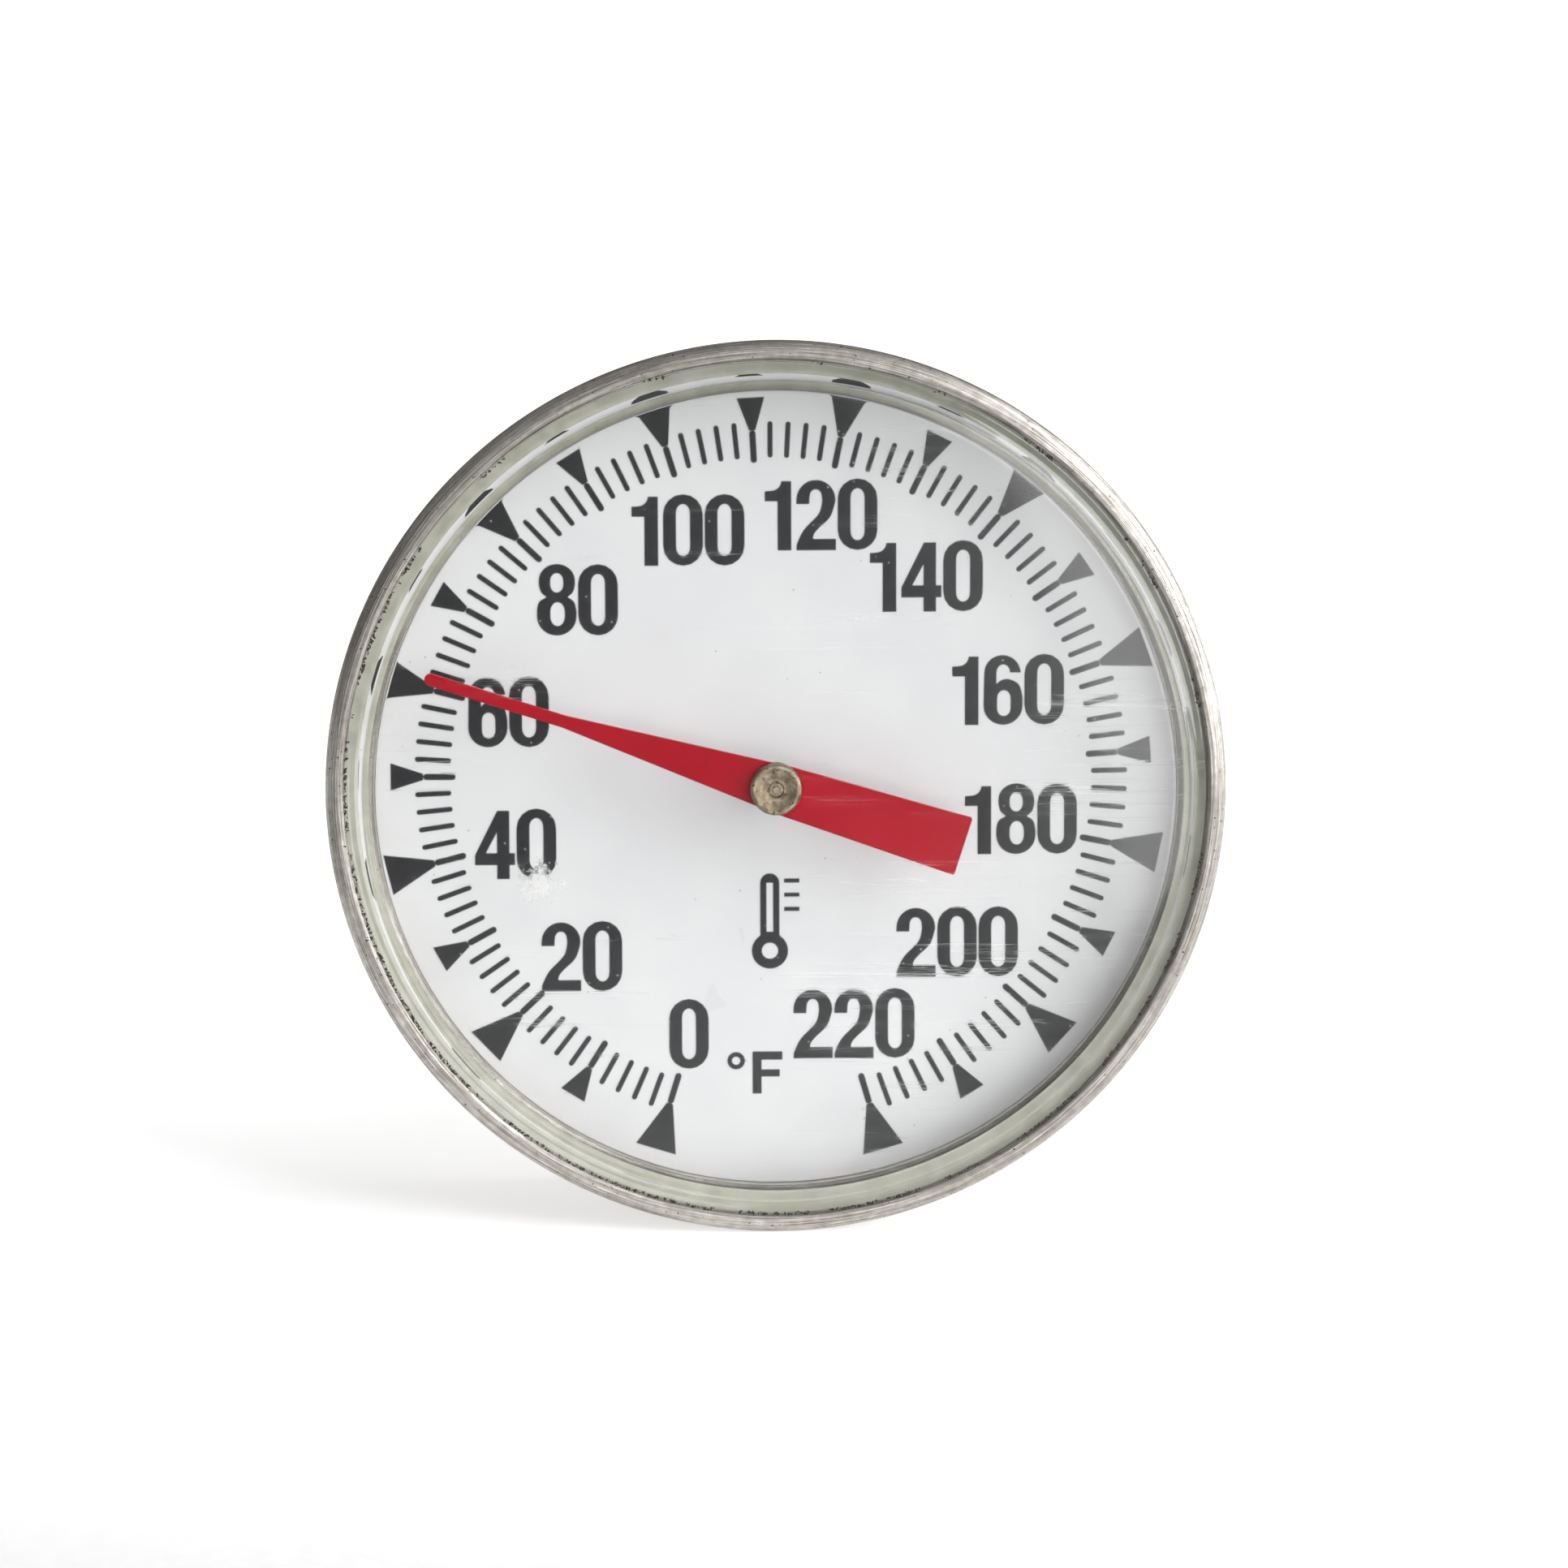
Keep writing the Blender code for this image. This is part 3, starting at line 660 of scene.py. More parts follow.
def makeBezelRing():
    size = bezel
    outer = size["outerRadius"]
    front = size["front"]
    inner = size["innerRadius"]
    lipFront = front - size["lipDrop"]
    lipBack = lipFront - size["lipWall"]
    curlFront = size["back"] + size["curl"]
    wall = outer - size["wall"]
    lip = [(inner, lipFront), (inner + size["lipRound"], front - size["lipRound"] / 4)]
    lip.append((inner + size["flatWidth"], front))
    centre = (outer - size["rollWidth"], front - size["rollDepth"])
    steps = size["rollSteps"]
    roll = []
    for i, (r, z) in enumerate(arc(centre, (size["rollWidth"], size["rollDepth"]), 90, 0, steps)):
        wave = size["ripple"] * sin(tau * size["ripples"] * i / steps)  # the spinning tool's ridges
        inward = wave if wave < 0 else -wave / 5
        roll.append((r + inward, z + inward))
    curl = arc((wall, curlFront), (size["curl"], size["curl"]), -20, -90)
    tuck = [(size["curlEdge"], size["back"]), (size["curlEdge"], curlFront), (wall, curlFront)]
    mouth = [(wall, lipBack), (inner, lipBack)]
    mesh = lathed("bezelRing", lip + roll + curl + tuck + mouth, size["steps"])
    finishPiece("bezelRing", mesh, spunSteel, "head", ["bezel_ring"], 50)


caseCup = {
    "radius": 22.3,
    "wall": 0.5,
    "back": -4.0,
    "corner": 1.2,
    "flangeRadius": 22.75,
    "flangeFront": 3.2,
    "pressingRadius": 14.0,
    "seatRadius": 9.0,
    "seatStep": 0.4,
    "seatEase": 0.3,
    "stepInner": 4.0,
    "seatHole": 2.85,
    "steps": 256,
}


def makeCaseCup():
    size = caseCup
    wall = size["wall"]
    back = size["back"]
    inner = size["radius"] - wall
    flangeBack = size["flangeFront"] - wall
    corner = (size["radius"] - size["corner"], back + size["corner"])
    innerCorner = size["corner"] - wall
    seatBack = back - size["seatStep"]
    seatOuter = size["seatRadius"] + size["seatStep"]
    outside = [(inner, size["flangeFront"]), (size["flangeRadius"], size["flangeFront"])]
    outside += [(size["flangeRadius"], flangeBack), (size["radius"], flangeBack)]
    outside += arc(corner, (size["corner"], size["corner"]), 0, -90, 12)
    step = [(size["pressingRadius"], back), (seatOuter, back)]
    step += [(size["seatRadius"], seatBack), (size["stepInner"], seatBack)]
    shift = wall * 0.4  # the inner side of a pressed step turns a little nearer the axis
    innerStep = [(radius - shift, height + wall) for radius, height in reversed(step)]
    hole = [(size["seatHole"], seatBack), (size["seatHole"], seatBack + wall)]
    profile = outside + rounded(step, size["seatEase"]) + hole + rounded(innerStep, size["seatEase"])
    profile += arc(corner, (innerCorner, innerCorner), -90, 0)
    mesh = lathed("caseCup", profile, size["steps"])
    finishPiece("caseCup", mesh, drawnSteel, "head", ["case_cup"])


crystal = {
    "crown": 0.15,
    "crownSteps": 24,
    "flatRadius": 21.55,
    "front": 5.6,
    "back": 4.3,
    "backRadius": 20.9,
    "ledgeRadius": 21.95,
    "ledge": 5.0,
    "shoulderRadius": 22.4,
    "shoulder": 4.85,
    "flangeFront": 4.4,
    "flangeRadius": 22.75,
    "flangeBack": 3.9,
    "flangeInner": 21.3,
    "flatBackRadius": 20.5,
    "edge": 0.12,
    "steps": 320,
}


def makeCrystalLens():
    size = crystal
    profile = []
    for i in range(size["crownSteps"]):  # nearly flat, falling away only towards its shoulder
        share = i / size["crownSteps"]
        profile.append((size["flatRadius"] * share, size["front"] - size["crown"] * share**4))
    edge = [profile[-1], (size["flatRadius"], size["front"] - size["crown"])]
    edge += [(size["ledgeRadius"], size["ledge"]), (size["shoulderRadius"], size["shoulder"])]
    edge += [(size["shoulderRadius"], size["flangeFront"]), (size["flangeRadius"], size["flangeFront"])]
    edge += [(size["flangeRadius"], size["flangeBack"]), (size["flangeInner"], size["flangeBack"])]
    edge += [(size["backRadius"], size["back"]), (size["flatBackRadius"], size["back"])]
    edge.append((0, size["back"]))
    mesh = lathed("crystal", profile + rounded(edge, size["edge"], 6)[1:], size["steps"], closed=False)
    finishPiece("crystal", mesh, clearAcrylic, "head", ["lens"])


gasket = {"outer": 22.75, "inner": 21.3, "front": 3.8, "back": 3.3, "edge": 0.12, "steps": 192}
dialPlate = {"outer": 21.7, "inner": 0.8, "front": 0.0, "back": -0.5, "edge": 0.06, "steps": 256}
dialSpacer = {"outer": 21.1, "inner": 20.2, "front": -0.6, "back": -3.4, "edge": 0.08, "steps": 192}


def ringProfile(size):
    # a ring's loop; a point close inside each front edge keeps the face between them flat
    outer, inner, front = size["outer"], size["inner"], size["front"]
    near = 3 * size["edge"]
    loop = [(outer - near, front), (outer, front), (outer, size["back"])]
    loop += [(inner, size["back"]), (inner, front), (inner + near, front)]
    return rounded(loop, size["edge"])


def makeRings():
    mesh = lathed("crystalGasket", ringProfile(gasket), gasket["steps"])
    finishPiece("crystalGasket", mesh, paleSilicone, "head", ["lens_gasket"])
    mesh = lathed("dialPlate", ringProfile(dialPlate), dialPlate["steps"])
    finishPiece("dialPlate", mesh, whiteEnamel, "head", ["dial_plate"])
    mesh = lathed("dialSpacer", ringProfile(dialSpacer), dialSpacer["steps"])
    finishPiece("dialSpacer", mesh, drawnSteel, "head", ["dial_spacer"])


makeBezelRing()
makeCaseCup()
makeCrystalLens()
makeRings()
print("head made")


scale = {
    "Divisions": 110,  # two degrees each
    "Start": -162.75,
    "Sweep": 326.4,
    "Bow": -0.0103,  # the coil isn't quite linear, so the divisions open and close a little
    "Sway": 0.0033,
    "Tick inner": 16.85,
    "Tick outer": 18.75,
    "Tick width": 0.27,
    "Line inner": 16.6,
    "Line width": 0.33,
    "Mark start": 18.3,
    "Small outer": 20.0,
    "Small width": 1.45,
    "Large outer": 20.85,
    "Large width": 2.2,
    "Ink depth": 0.02,
    "Ink": charcoalInk,
}
printing = (-0.19, 0.13)  # the print sits this far off the stem's axis, across and up


def scaleTree():
    tree, sizes = newTree("printedScale", scale)
    count = addNode(tree, "ShaderNodeMath", {0: sizes["Divisions"], 1: 1.0}, operation="ADD")
    points = addNode(tree, "GeometryNodePoints", {"Count": count})
    index = addNode(tree, "GeometryNodeInputIndex")
    share = addNode(tree, "ShaderNodeMath", {0: index, 1: sizes["Divisions"]}, operation="DIVIDE")
    eased = share
    for wave, label in ((pi, "Bow"), (tau, "Sway")):
        phase = addNode(tree, "ShaderNodeMath", {0: share, 1: wave}, operation="MULTIPLY")
        swing = addNode(tree, "ShaderNodeMath", {0: phase}, operation="SINE")
        eased = addNode(
            tree, "ShaderNodeMath", {0: swing, 1: sizes[label], 2: eased}, operation="MULTIPLY_ADD"
        )
    degrees = addNode(
        tree,
        "ShaderNodeMath",
        {0: eased, 1: sizes["Sweep"], 2: sizes["Start"]},
        operation="MULTIPLY_ADD",
    )
    turn = addNode(tree, "ShaderNodeMath", {0: degrees, 1: radians(-1)}, operation="MULTIPLY")
    rotation = addNode(tree, "ShaderNodeCombineXYZ", {"Z": turn})

    def bar(inner, outer, width):  # a round-ended line along the radius
        length = addNode(tree, "ShaderNodeMath", {0: outer, 1: inner}, operation="SUBTRACT")
        ends = addNode(tree, "ShaderNodeMath", {0: outer, 1: inner}, operation="ADD")
        middle = addNode(tree, "ShaderNodeMath", {0: ends, 1: 0.5}, operation="MULTIPLY")
        box = addNode(tree, "GeometryNodeCurvePrimitiveQuadrilateral", {"Width": width, "Height": length})
        soft = addNode(
            tree,
            "GeometryNodeFilletCurve",
            {"Curve": box, "Radius": width, "Limit Radius": True, "Count": 5},
            mode="POLY",
        )
        filled = addNode(tree, "GeometryNodeFillCurve", {"Curve": soft}, mode="NGONS")
        place = addNode(tree, "ShaderNodeCombineXYZ", {"Y": middle})
        return addNode(tree, "GeometryNodeTransform", {"Geometry": filled, "Translation": place})

    def wedge(outer, width):  # the arrowhead outside the ticks
        quad = addNode(tree, "GeometryNodeCurvePrimitiveQuadrilateral", mode="POINTS")
        base, start = sizes["Line width"], sizes["Mark start"]
        corners = ((base, start, -0.5), (base, start, 0.5), (width, outer, 0.5), (width, outer, -0.5))
        for i, (across, along, side) in enumerate(corners):
            x = addNode(tree, "ShaderNodeMath", {0: across, 1: side}, operation="MULTIPLY")
            corner = addNode(tree, "ShaderNodeCombineXYZ", {"X": x, "Y": along})
            wire(tree, corner, quad.inputs[f"Point {i + 1}"])
        return addNode(tree, "GeometryNodeFillCurve", {"Curve": quad}, mode="NGONS")

    tick = bar(sizes["Tick inner"], sizes["Tick outer"], sizes["Tick width"])
    line = bar(sizes["Line inner"], sizes["Mark start"], sizes["Line width"])
    wedges = [wedge(sizes[f"{grade} outer"], sizes[f"{grade} width"]) for grade in ("Small", "Large")]
    small, large = [addNode(tree, "GeometryNodeJoinGeometry", {0: [line, end]}) for end in wedges]
    kinds = addNode(tree, "GeometryNodeGeometryToInstance", {0: [tick, small, large]})
    kind = 0.0
    for step in (5.0, 10.0):  # every fifth division is a small mark and every tenth a large one
        over = addNode(tree, "ShaderNodeMath", {0: index, 1: step}, operation="MODULO")
        here = addNode(tree, "ShaderNodeMath", {0: over, 1: 0.5}, operation="LESS_THAN")
        kind = addNode(tree, "ShaderNodeMath", {0: here, 1: kind}, operation="ADD")
    placed = addNode(
        tree,
        "GeometryNodeInstanceOnPoints",
        {
            "Points": points,
            "Instance": kinds,
            "Pick Instance": True,
            "Instance Index": kind,
            "Rotation": rotation,
        },
    )
    flat = addNode(tree, "GeometryNodeRealizeInstances", {"Geometry": placed})
    raised = addNode(
        tree,
        "GeometryNodeExtrudeMesh",
        {"Mesh": flat, "Offset Scale": sizes["Ink depth"], "Individual": False},
    )
    under = addNode(tree, "GeometryNodeFlipFaces", {"Mesh": flat})
    whole = addNode(tree, "GeometryNodeJoinGeometry", {0: [raised, under]})
    endTree(tree, whole, sizes["Ink"])
    return tree


def makeScaleMarks():
    mesh = runTree(scaleTree(), scale, "scaleMarks")
    mesh.transform(Matrix.Translation((*printing, 0)))
    finishPiece("scaleMarks", mesh, charcoalInk, "head", sharp=30)


numerals = {
    "inkDepth": 0.02,
    "gap": 0.09,
    "gapAfterOne": 0.26,
    "height": 3.7,
    "stretch": 1.012,
    "places": {
        "0": (-4.35, -13.59),
        "20": (-9.92, -9.42),
        "40": (-13.33, -3.46),
        "60": (-13.63, 3.48),
        "80": (-10.01, 9.31),
        "100": (-4.26, 12.92),
        "120": (2.63, 13.69),
        "140": (8.08, 10.46),
        "160": (12.33, 4.50),
        "180": (13.01, -2.31),
        "200": (9.69, -8.78),
        "220": (4.29, -13.08),
    },
    "unitPlace": (-1.03, -16.78),
    "degreePlace": (-1.89, -15.03),
    "degreeOuter": 0.46,
    "degreeInner": 0.22,
}


def smooth(points, steps=5):  # a soft curve through the points
    ends = [points[0], *points, points[-1]]
    made = []
    for a, b, c, d in zip(ends, ends[1:], ends[2:], ends[3:]):
        for i in range(steps):
            t = i / steps
            weights = (
                -0.5 * t + t**2 - 0.5 * t**3,
                1 - 2.5 * t**2 + 1.5 * t**3,
                0.5 * t + 2 * t**2 - 1.5 * t**3,
                -0.5 * t**2 + 0.5 * t**3,
            )
            made.append(tuple(sum(w * p[k] for w, p in zip(weights, (a, b, c, d))) for k in (0, 1)))
    return [*made, points[-1]]


def oval(centreX, rx, low, high, ry):  # an upright round-ended hole
    return arc((centreX, high - ry), (rx, ry), 0, 180) + arc((centreX, low + ry), (rx, ry), 180, 360)


# each figure is (width, outlines), drawn from its lower left corner: a bold condensed grotesque
def figureOutlines():
    zero = [oval(1.03, 1.03, 0, 3.71, 1.03), oval(1.03, 0.36, 0.505, 3.205, 0.46)]
    one = [[(0.66, 0), (1.37, 0), (1.37, 3.59)] + arc((0.31, 3.59), (0.54, 0.5), 0, -90) + [(0, 3.07)]]
    one[0] += [(0, 2.55), (0.66, 2.55)]
    two = [(0, 0), *smooth([(0.01, 0.3), (0.38, 1.05), (1.13, 1.85), (1.32, 2.43), (1.32, 2.76)])]
    two += arc((1.005, 2.78), (0.315, 0.38), 0, 180) + [(0.67, 2.4), (0, 2.4)]
    two += arc((1.015, 2.62), (1.015, 1.03), 180, 0, 12)
    two += smooth([(2.02, 2.5), (1.76, 1.74), (1.18, 1.16), (0.92, 0.85), (0.86, 0.59)])
    two += [(2.05, 0.59), (2.05, 0)]
    four = [(1.15, 0), (1.8, 0), (1.8, 0.74), (2.08, 0.74), (2.08, 1.37), (1.8, 1.37), (1.8, 3.6)]
    four += [(1.17, 3.6), (0, 1.26), (0, 0.74), (1.15, 0.74)]
    six = [(1.38, 2.74), (1.93, 2.74)] + arc((0.98, 2.72), (0.95, 0.94), 10, 176, 10)
    six += arc((1.015, 1.0), (1.015, 1.0), 180, 360, 12)
    six += smooth([(2.03, 1.47), (1.83, 2.12), (1.3, 2.4), (0.9, 2.33), (0.67, 2.14)])
    six += arc((1.025, 2.72), (0.355, 0.45), 180, 0)
    eight = smooth([(1.62, 2.03), (1.88, 2.27), (1.985, 2.65)])
    eight += arc((1.05, 2.88), (0.935, 0.85), 0, 180, 12)
    eight += smooth([(0.115, 2.65), (0.22, 2.27), (0.48, 2.03)])
    eight += smooth([(0.48, 1.99), (0.12, 1.75), (0.0, 1.3)])
    eight += arc((1.025, 1.0), (1.025, 1.0), 180, 360, 12)
    eight += smooth([(2.05, 1.3), (1.93, 1.75), (1.62, 1.99)])
    return {
        "0": (2.06, zero),
        "1": (1.37, one),
        "2": (2.05, [two]),
        "4": (2.08, [four, [(1.15, 2.46), (0.57, 1.37), (1.15, 1.37)]]),
        "6": (2.03, [six, oval(1.055, 0.345, 0.46, 1.82, 0.4)]),
        "8": (2.05, [eight, oval(1.04, 0.335, 2.245, 3.255, 0.4), oval(1.07, 0.37, 0.495, 1.745, 0.5)]),
    }


def numberOutlines(text, centre, figures):
    gaps = [numerals["gapAfterOne"] if figure == "1" else numerals["gap"] for figure in text[:-1]]
    width = sum(figures[figure][0] for figure in text) + sum(gaps)
    x = -width / 2
    made = []
    for figure, gap in zip(text, [*gaps, 0], strict=True):
        advance, outlines = figures[figure]
        for outline in outlines:
            made.append([(centre[0] + x + px, centre[1] + py - numerals["height"] / 2) for px, py in outline])
        x += advance + gap
    return made


def unitOutlines():  # the degree ring and the letter of the unit
    x, y = numerals["unitPlace"]
    letter = [(0, 0), (0.47, 0), (0.47, 0.9), (1.42, 0.9), (1.42, 1.28), (0.47, 1.28)]
    letter += [(0.47, 1.79), (1.56, 1.79), (1.56, 2.23), (0, 2.23)]
    outer, inner = numerals["degreeOuter"], numerals["degreeInner"]
    rings = [arc(numerals["degreePlace"], (r, r), 0, 345, 23) for r in (outer, inner)]
    return [[(x + px, y + py) for px, py in letter], *rings]


pictogram = {
    "place": (-0.1, -9.2),
    "bulb": 0.95,
    "tube": 0.5,
    "top": 3.6,
    "eye": 0.4275,
    "slotWidth": 0.35,
    "slotGap": 0.2,
    "strokes": 3,
    "strokeStart": 0.75,
    "strokeGap": 0.75,
    "strokeLength": 0.8,
    "strokeWidth": 0.22,
}


def pictogramOutlines():  # a plain thermometer sign: a bulb and tube with three degree strokes
    x, y = pictogram["place"]
    bulb, tube, top = pictogram["bulb"], pictogram["tube"], pictogram["top"]
    rise = (bulb**2 - tube**2) ** 0.5
    gap = 180 * asin(tube / bulb) / pi  # the bulb opens into the tube over this much either side
    body = arc((x, y), (bulb, bulb), 90 + gap, 450 - gap, 24)
    body += arc((x, y + top), (tube, tube), 0, 180)
    inside = arc((x, y), (pictogram["eye"], pictogram["eye"]), 0, 345, 23)
    half, foot = pictogram["slotWidth"] / 2, y + rise + pictogram["slotGap"]
    slot = [(x - half, foot), (x + half, foot), (x + half, y + top), (x - half, y + top)]
    made = [body, inside, slot]
    for i in range(pictogram["strokes"]):
        low = y + top - i * pictogram["strokeGap"]
        high = low + pictogram["strokeWidth"]
        start = x + pictogram["strokeStart"]
        end = start + pictogram["strokeLength"]
        made.append([(start, low), (end, low), (end, high), (start, high)])
    return made


def makeNumerals():
    figures = figureOutlines()
    outlines = unitOutlines() + pictogramOutlines()
    for text, centre in numerals["places"].items():
        outlines += numberOutlines(text, centre, figures)
    grown = [[(x * numerals["stretch"], y * numerals["stretch"]) for x, y in loop] for loop in outlines]
    mesh = flatShape("scaleNumerals", grown, numerals["inkDepth"])
    mesh.transform(Matrix.Translation((*printing, 0)))
    finishPiece("scaleNumerals", mesh, charcoalInk, "head", sharp=30)


makeScaleMarks()
makeNumerals()
print("scale printed")


pointer = {
    "rest": -72.1,
    "tip": 19.2,
    "neck": 11.6,
    "tail": 10.3,
    "tipWidth": 0.65,
    "hubWidth": 2.62,
    "hubWaist": -0.5,
    "tailWidth": 3.18,
    "tailCorner": 0.08,
    "back": 2.95,
    "thickness": 0.3,
    "bevel": 0.05,
    "hole": 1.0,
}


def makePointer():
    size = pointer
    tip = size["tipWidth"] / 2
    tail = size["tailWidth"] / 2
    right = [(tip, size["neck"]), (size["hubWidth"] / 2, size["hubWaist"])]
    right += [(tail, size["tailCorner"] - size["tail"]), (tail - size["tailCorner"], -size["tail"])]
    left = [(-x, y) for x, y in reversed(right)]
    outline = arc((0, size["tip"] - tip), (tip, tip), 180, 0, 12) + right + left
    hole = arc((0, 0), (size["hole"], size["hole"]), 0, 352.5, 47)
    mesh = flatShape("pointer", [outline, hole], size["thickness"], size["bevel"])
    turn = Matrix.Rotation(-radians(size["rest"]), 4, "Z")
    mesh.transform(Matrix.Translation((0, 0, size["back"])) @ turn)
    finishPiece("pointerBlade", mesh, redEnamel, "pointer", ["pointer"], 5)


hub = {
    "radius": 1.35,
    "front": 3.95,
    "cap": 0.6,
    "round": 0.16,
    "barrel": 0.9,
    "back": 2.0,
    "bore": 0.55,
    "boreEnd": 3.4,
    "lipRadius": 0.95,
    "lipDrop": 0.05,
    "dimpleRadius": 0.42,
    "dimpleDepth": 0.16,
    "pipRadius": 0.16,
    "pipEase": 0.03,
    "lipEase": 0.06,
    "steps": 96,
}
hubWasher = {"outer": 1.3, "inner": 0.95, "front": 2.9, "back": 2.6, "edge": 0.06, "steps": 96}


def makeHub():
    size = hub
    front = size["front"]
    floor = front - size["dimpleDepth"]
    rim = size["radius"] - size["round"]
    face = [(0, front - size["lipDrop"]), (size["pipRadius"], front - size["lipDrop"])]  # the shaft's end
    face += [(size["pipRadius"] + size["pipEase"], floor), (size["dimpleRadius"] - size["lipEase"], floor)]
    face += [(size["dimpleRadius"], front - size["lipDrop"]), (size["lipRadius"], front - size["lipDrop"])]
    face += [(size["lipRadius"] + size["lipEase"], front), (rim, front)]
    edge = arc((rim, front - size["round"]), (size["round"], size["round"]), 80, 0, 6)
    under = [(size["radius"], front - size["cap"]), (size["barrel"], front - size["cap"])]
    under += [(size["barrel"], size["back"]), (size["bore"], size["back"])]
    under += [(size["bore"], size["boreEnd"]), (0, size["boreEnd"])]
    mesh = lathed("pointerCap", face + edge + under, size["steps"], closed=False)
    finishPiece("pointerCap", mesh, agedBrass, "pointer", ["pointer_hub"])
    mesh = lathed("pointerWasher", ringProfile(hubWasher), hubWasher["steps"])
    finishPiece("pointerWasher", mesh, agedBrass, "pointer", ["pointer_washer"])


makePointer()
makeHub()
print("pointer made")


stem = {
    "radius": 1.9,
    "wall": 0.25,
    "edge": 0.1,
    "fit": 0.1,
    "grooveFromTip": 51.0,
    "grooveReach": 0.3,
    "grooveCurve": 0.28,
    "grooveLift": 0.2,
    "steps": 64,
}


def makeStem():
    size = stem
    tubeLow, tubeHigh = localBox("stem_tube")
    tipLow, tipHigh = localBox("stem_tip")
    radius, edge = size["radius"], size["edge"]
    centre = tipLow.z + radius
    bore = radius - size["wall"]
    groove = tipLow.z + size["grooveFromTip"]  # a rolled ring that shows how deep the coil reaches
    tube = [(radius - edge, tubeHigh.z), (radius, tubeHigh.z - edge), (radius, groove + size["grooveReach"])]
    curve = (size["grooveCurve"], size["grooveReach"])
    tube += arc((radius + size["grooveLift"], groove), curve, 130, 230)
    tube += [(radius, groove - size["grooveReach"]), (radius, tubeLow.z)]
    tube += [(bore, tubeLow.z), (bore, tubeHigh.z)]
    mesh = lathed("stemTube", tube, size["steps"])
    finishPiece("stemTube", mesh, groundSteel, "stem", ["stem_tube"])
    plug = [(0, tipHigh.z), (bore - size["fit"], tipHigh.z), (bore - size["fit"], centre), (radius, centre)]
    plug += arc((0, centre), (radius, radius), 0, -90, 20)
    mesh = lathed("stemTip", plug, size["steps"], closed=False)
    finishPiece("stemTip", mesh, groundSteel, "stem", ["stem_tip"])


nut = {
    "acrossFlats": 11.1,
    "front": -5.05,
    "back": -8.85,
    "chamfer": 0.5,
    "shank": 2.7,
    "shankFront": -2.3,
    "shankEdge": 0.2,
    "groove": 2.3,
    "grooveFront": -2.75,
    "grooveBack": -3.25,
    "shoulder": 3.0,
    "shoulderEnd": -9.65,
    "shoulderEdge": 0.25,
    "bore": 2.0,
    "overlap": 0.5,
    "past": 0.1,  # the cutters reach this far past the faces they cut
    "steps": 144,
}


def makeNut():
    size = nut
    front, back, end = size["front"], size["back"], size["shoulderEnd"]
    flat = size["acrossFlats"] / 2
    corner = flat / cos(pi / 6)
    body = bmesh.new()
    place = Matrix.Translation((0, 0, (front + back) / 2)) @ Matrix.Rotation(pi / 6, 4, "Z")
    bmesh.ops.create_cone(
        body, cap_ends=True, segments=6, radius1=corner, radius2=corner, depth=front - back, matrix=place
    )
    mesh = bpy.data.meshes.new("nut")
    body.to_mesh(mesh)
    body.free()
    obj = bpy.data.objects.new("nut", mesh)
    past = size["past"]
    wide = corner + size["chamfer"]
    envelope = [(0, front + past), (flat, front + past), (wide, front - size["chamfer"])]
    envelope += [(wide, back + size["chamfer"]), (flat, back - past), (0, back - past)]
    shank = [(0, size["shankFront"]), (size["shank"] - size["shankEdge"], size["shankFront"])]
    shank += [(size["shank"], size["shankFront"] - size["shankEdge"]), (size["shank"], size["grooveFront"])]
    shank += [(size["groove"], size["grooveFront"]), (size["groove"], size["grooveBack"])]
    inside = front - 2 * size["overlap"]
    shank += [(size["shank"], size["grooveBack"]), (size["shank"], front - size["overlap"])]
    shank += [(size["shoulder"], inside), (size["shoulder"], end + size["shoulderEdge"])]
    shank += [(size["shoulder"] - size["shoulderEdge"], end), (0, end)]
    foot = end - 2 * size["overlap"]
    bore = [(0, 0), (size["bore"], 0), (size["bore"], foot), (0, foot)]
    helpers = []
    for operation, profile in (("INTERSECT", envelope), ("UNION", shank), ("DIFFERENCE", bore)):
        helper = bpy.data.objects.new("cutter", lathed("cutter", profile, size["steps"], closed=False))
        scene.collection.objects.link(helper)
        helpers.append(helper)
        change = obj.modifiers.new(operation.lower(), "BOOLEAN")
        change.operation = operation
        change.object = helper
    mesh = asMesh(obj)
    for helper in helpers:
        bpy.data.objects.remove(helper, do_unlink=True)
    finishPiece("calibrationNut", mesh, turnedSteel, "stem", ["calibration_nut"], 25)


coil = {
    "Radius": 1.2,
    "Turns": 14.0,
    "Steps": 28,
    "Length": 31.0,
    "Strip width": 0.9,
    "Strip thickness": 0.16,
    "Finish": bimetalStrip,
}


def coilTree():
    tree, sizes = newTree("bimetalCoil", coil)
    steps = addNode(tree, "ShaderNodeMath", {0: sizes["Turns"], 1: sizes["Steps"]}, operation="MULTIPLY")
    helix = addNode(
        tree,
        "GeometryNodeCurveSpiral",
        {
            "Resolution": sizes["Steps"],
            "Rotations": sizes["Turns"],
            "Start Radius": sizes["Radius"],
            "End Radius": sizes["Radius"],
            "Height": sizes["Length"],
        },
    )
    even = addNode(tree, "GeometryNodeResampleCurve", {"Curve": helix, "Count": steps})
    upright = addNode(tree, "GeometryNodeSetCurveNormal", {"Curve": even}, mode="Z_UP")
    strip = addNode(
        tree,
        "GeometryNodeCurvePrimitiveQuadrilateral",
        {"Width": sizes["Strip thickness"], "Height": sizes["Strip width"]},
    )
    solid = addNode(
        tree, "GeometryNodeCurveToMesh", {"Curve": upright, "Profile Curve": strip, "Fill Caps": True}
    )
    endTree(tree, solid, sizes["Finish"])
    return tree


def makeCoil():
    low, high = localBox("bimetal_coil")
    mesh = runTree(coilTree(), coil, "bimetalCoil")
    mesh.transform(Matrix.Translation((0, 0, (low.z + high.z - coil["Length"]) / 2)))
    finishPiece("bimetalCoil", mesh, bimetalStrip, "stem", ["bimetal_coil"], 30)


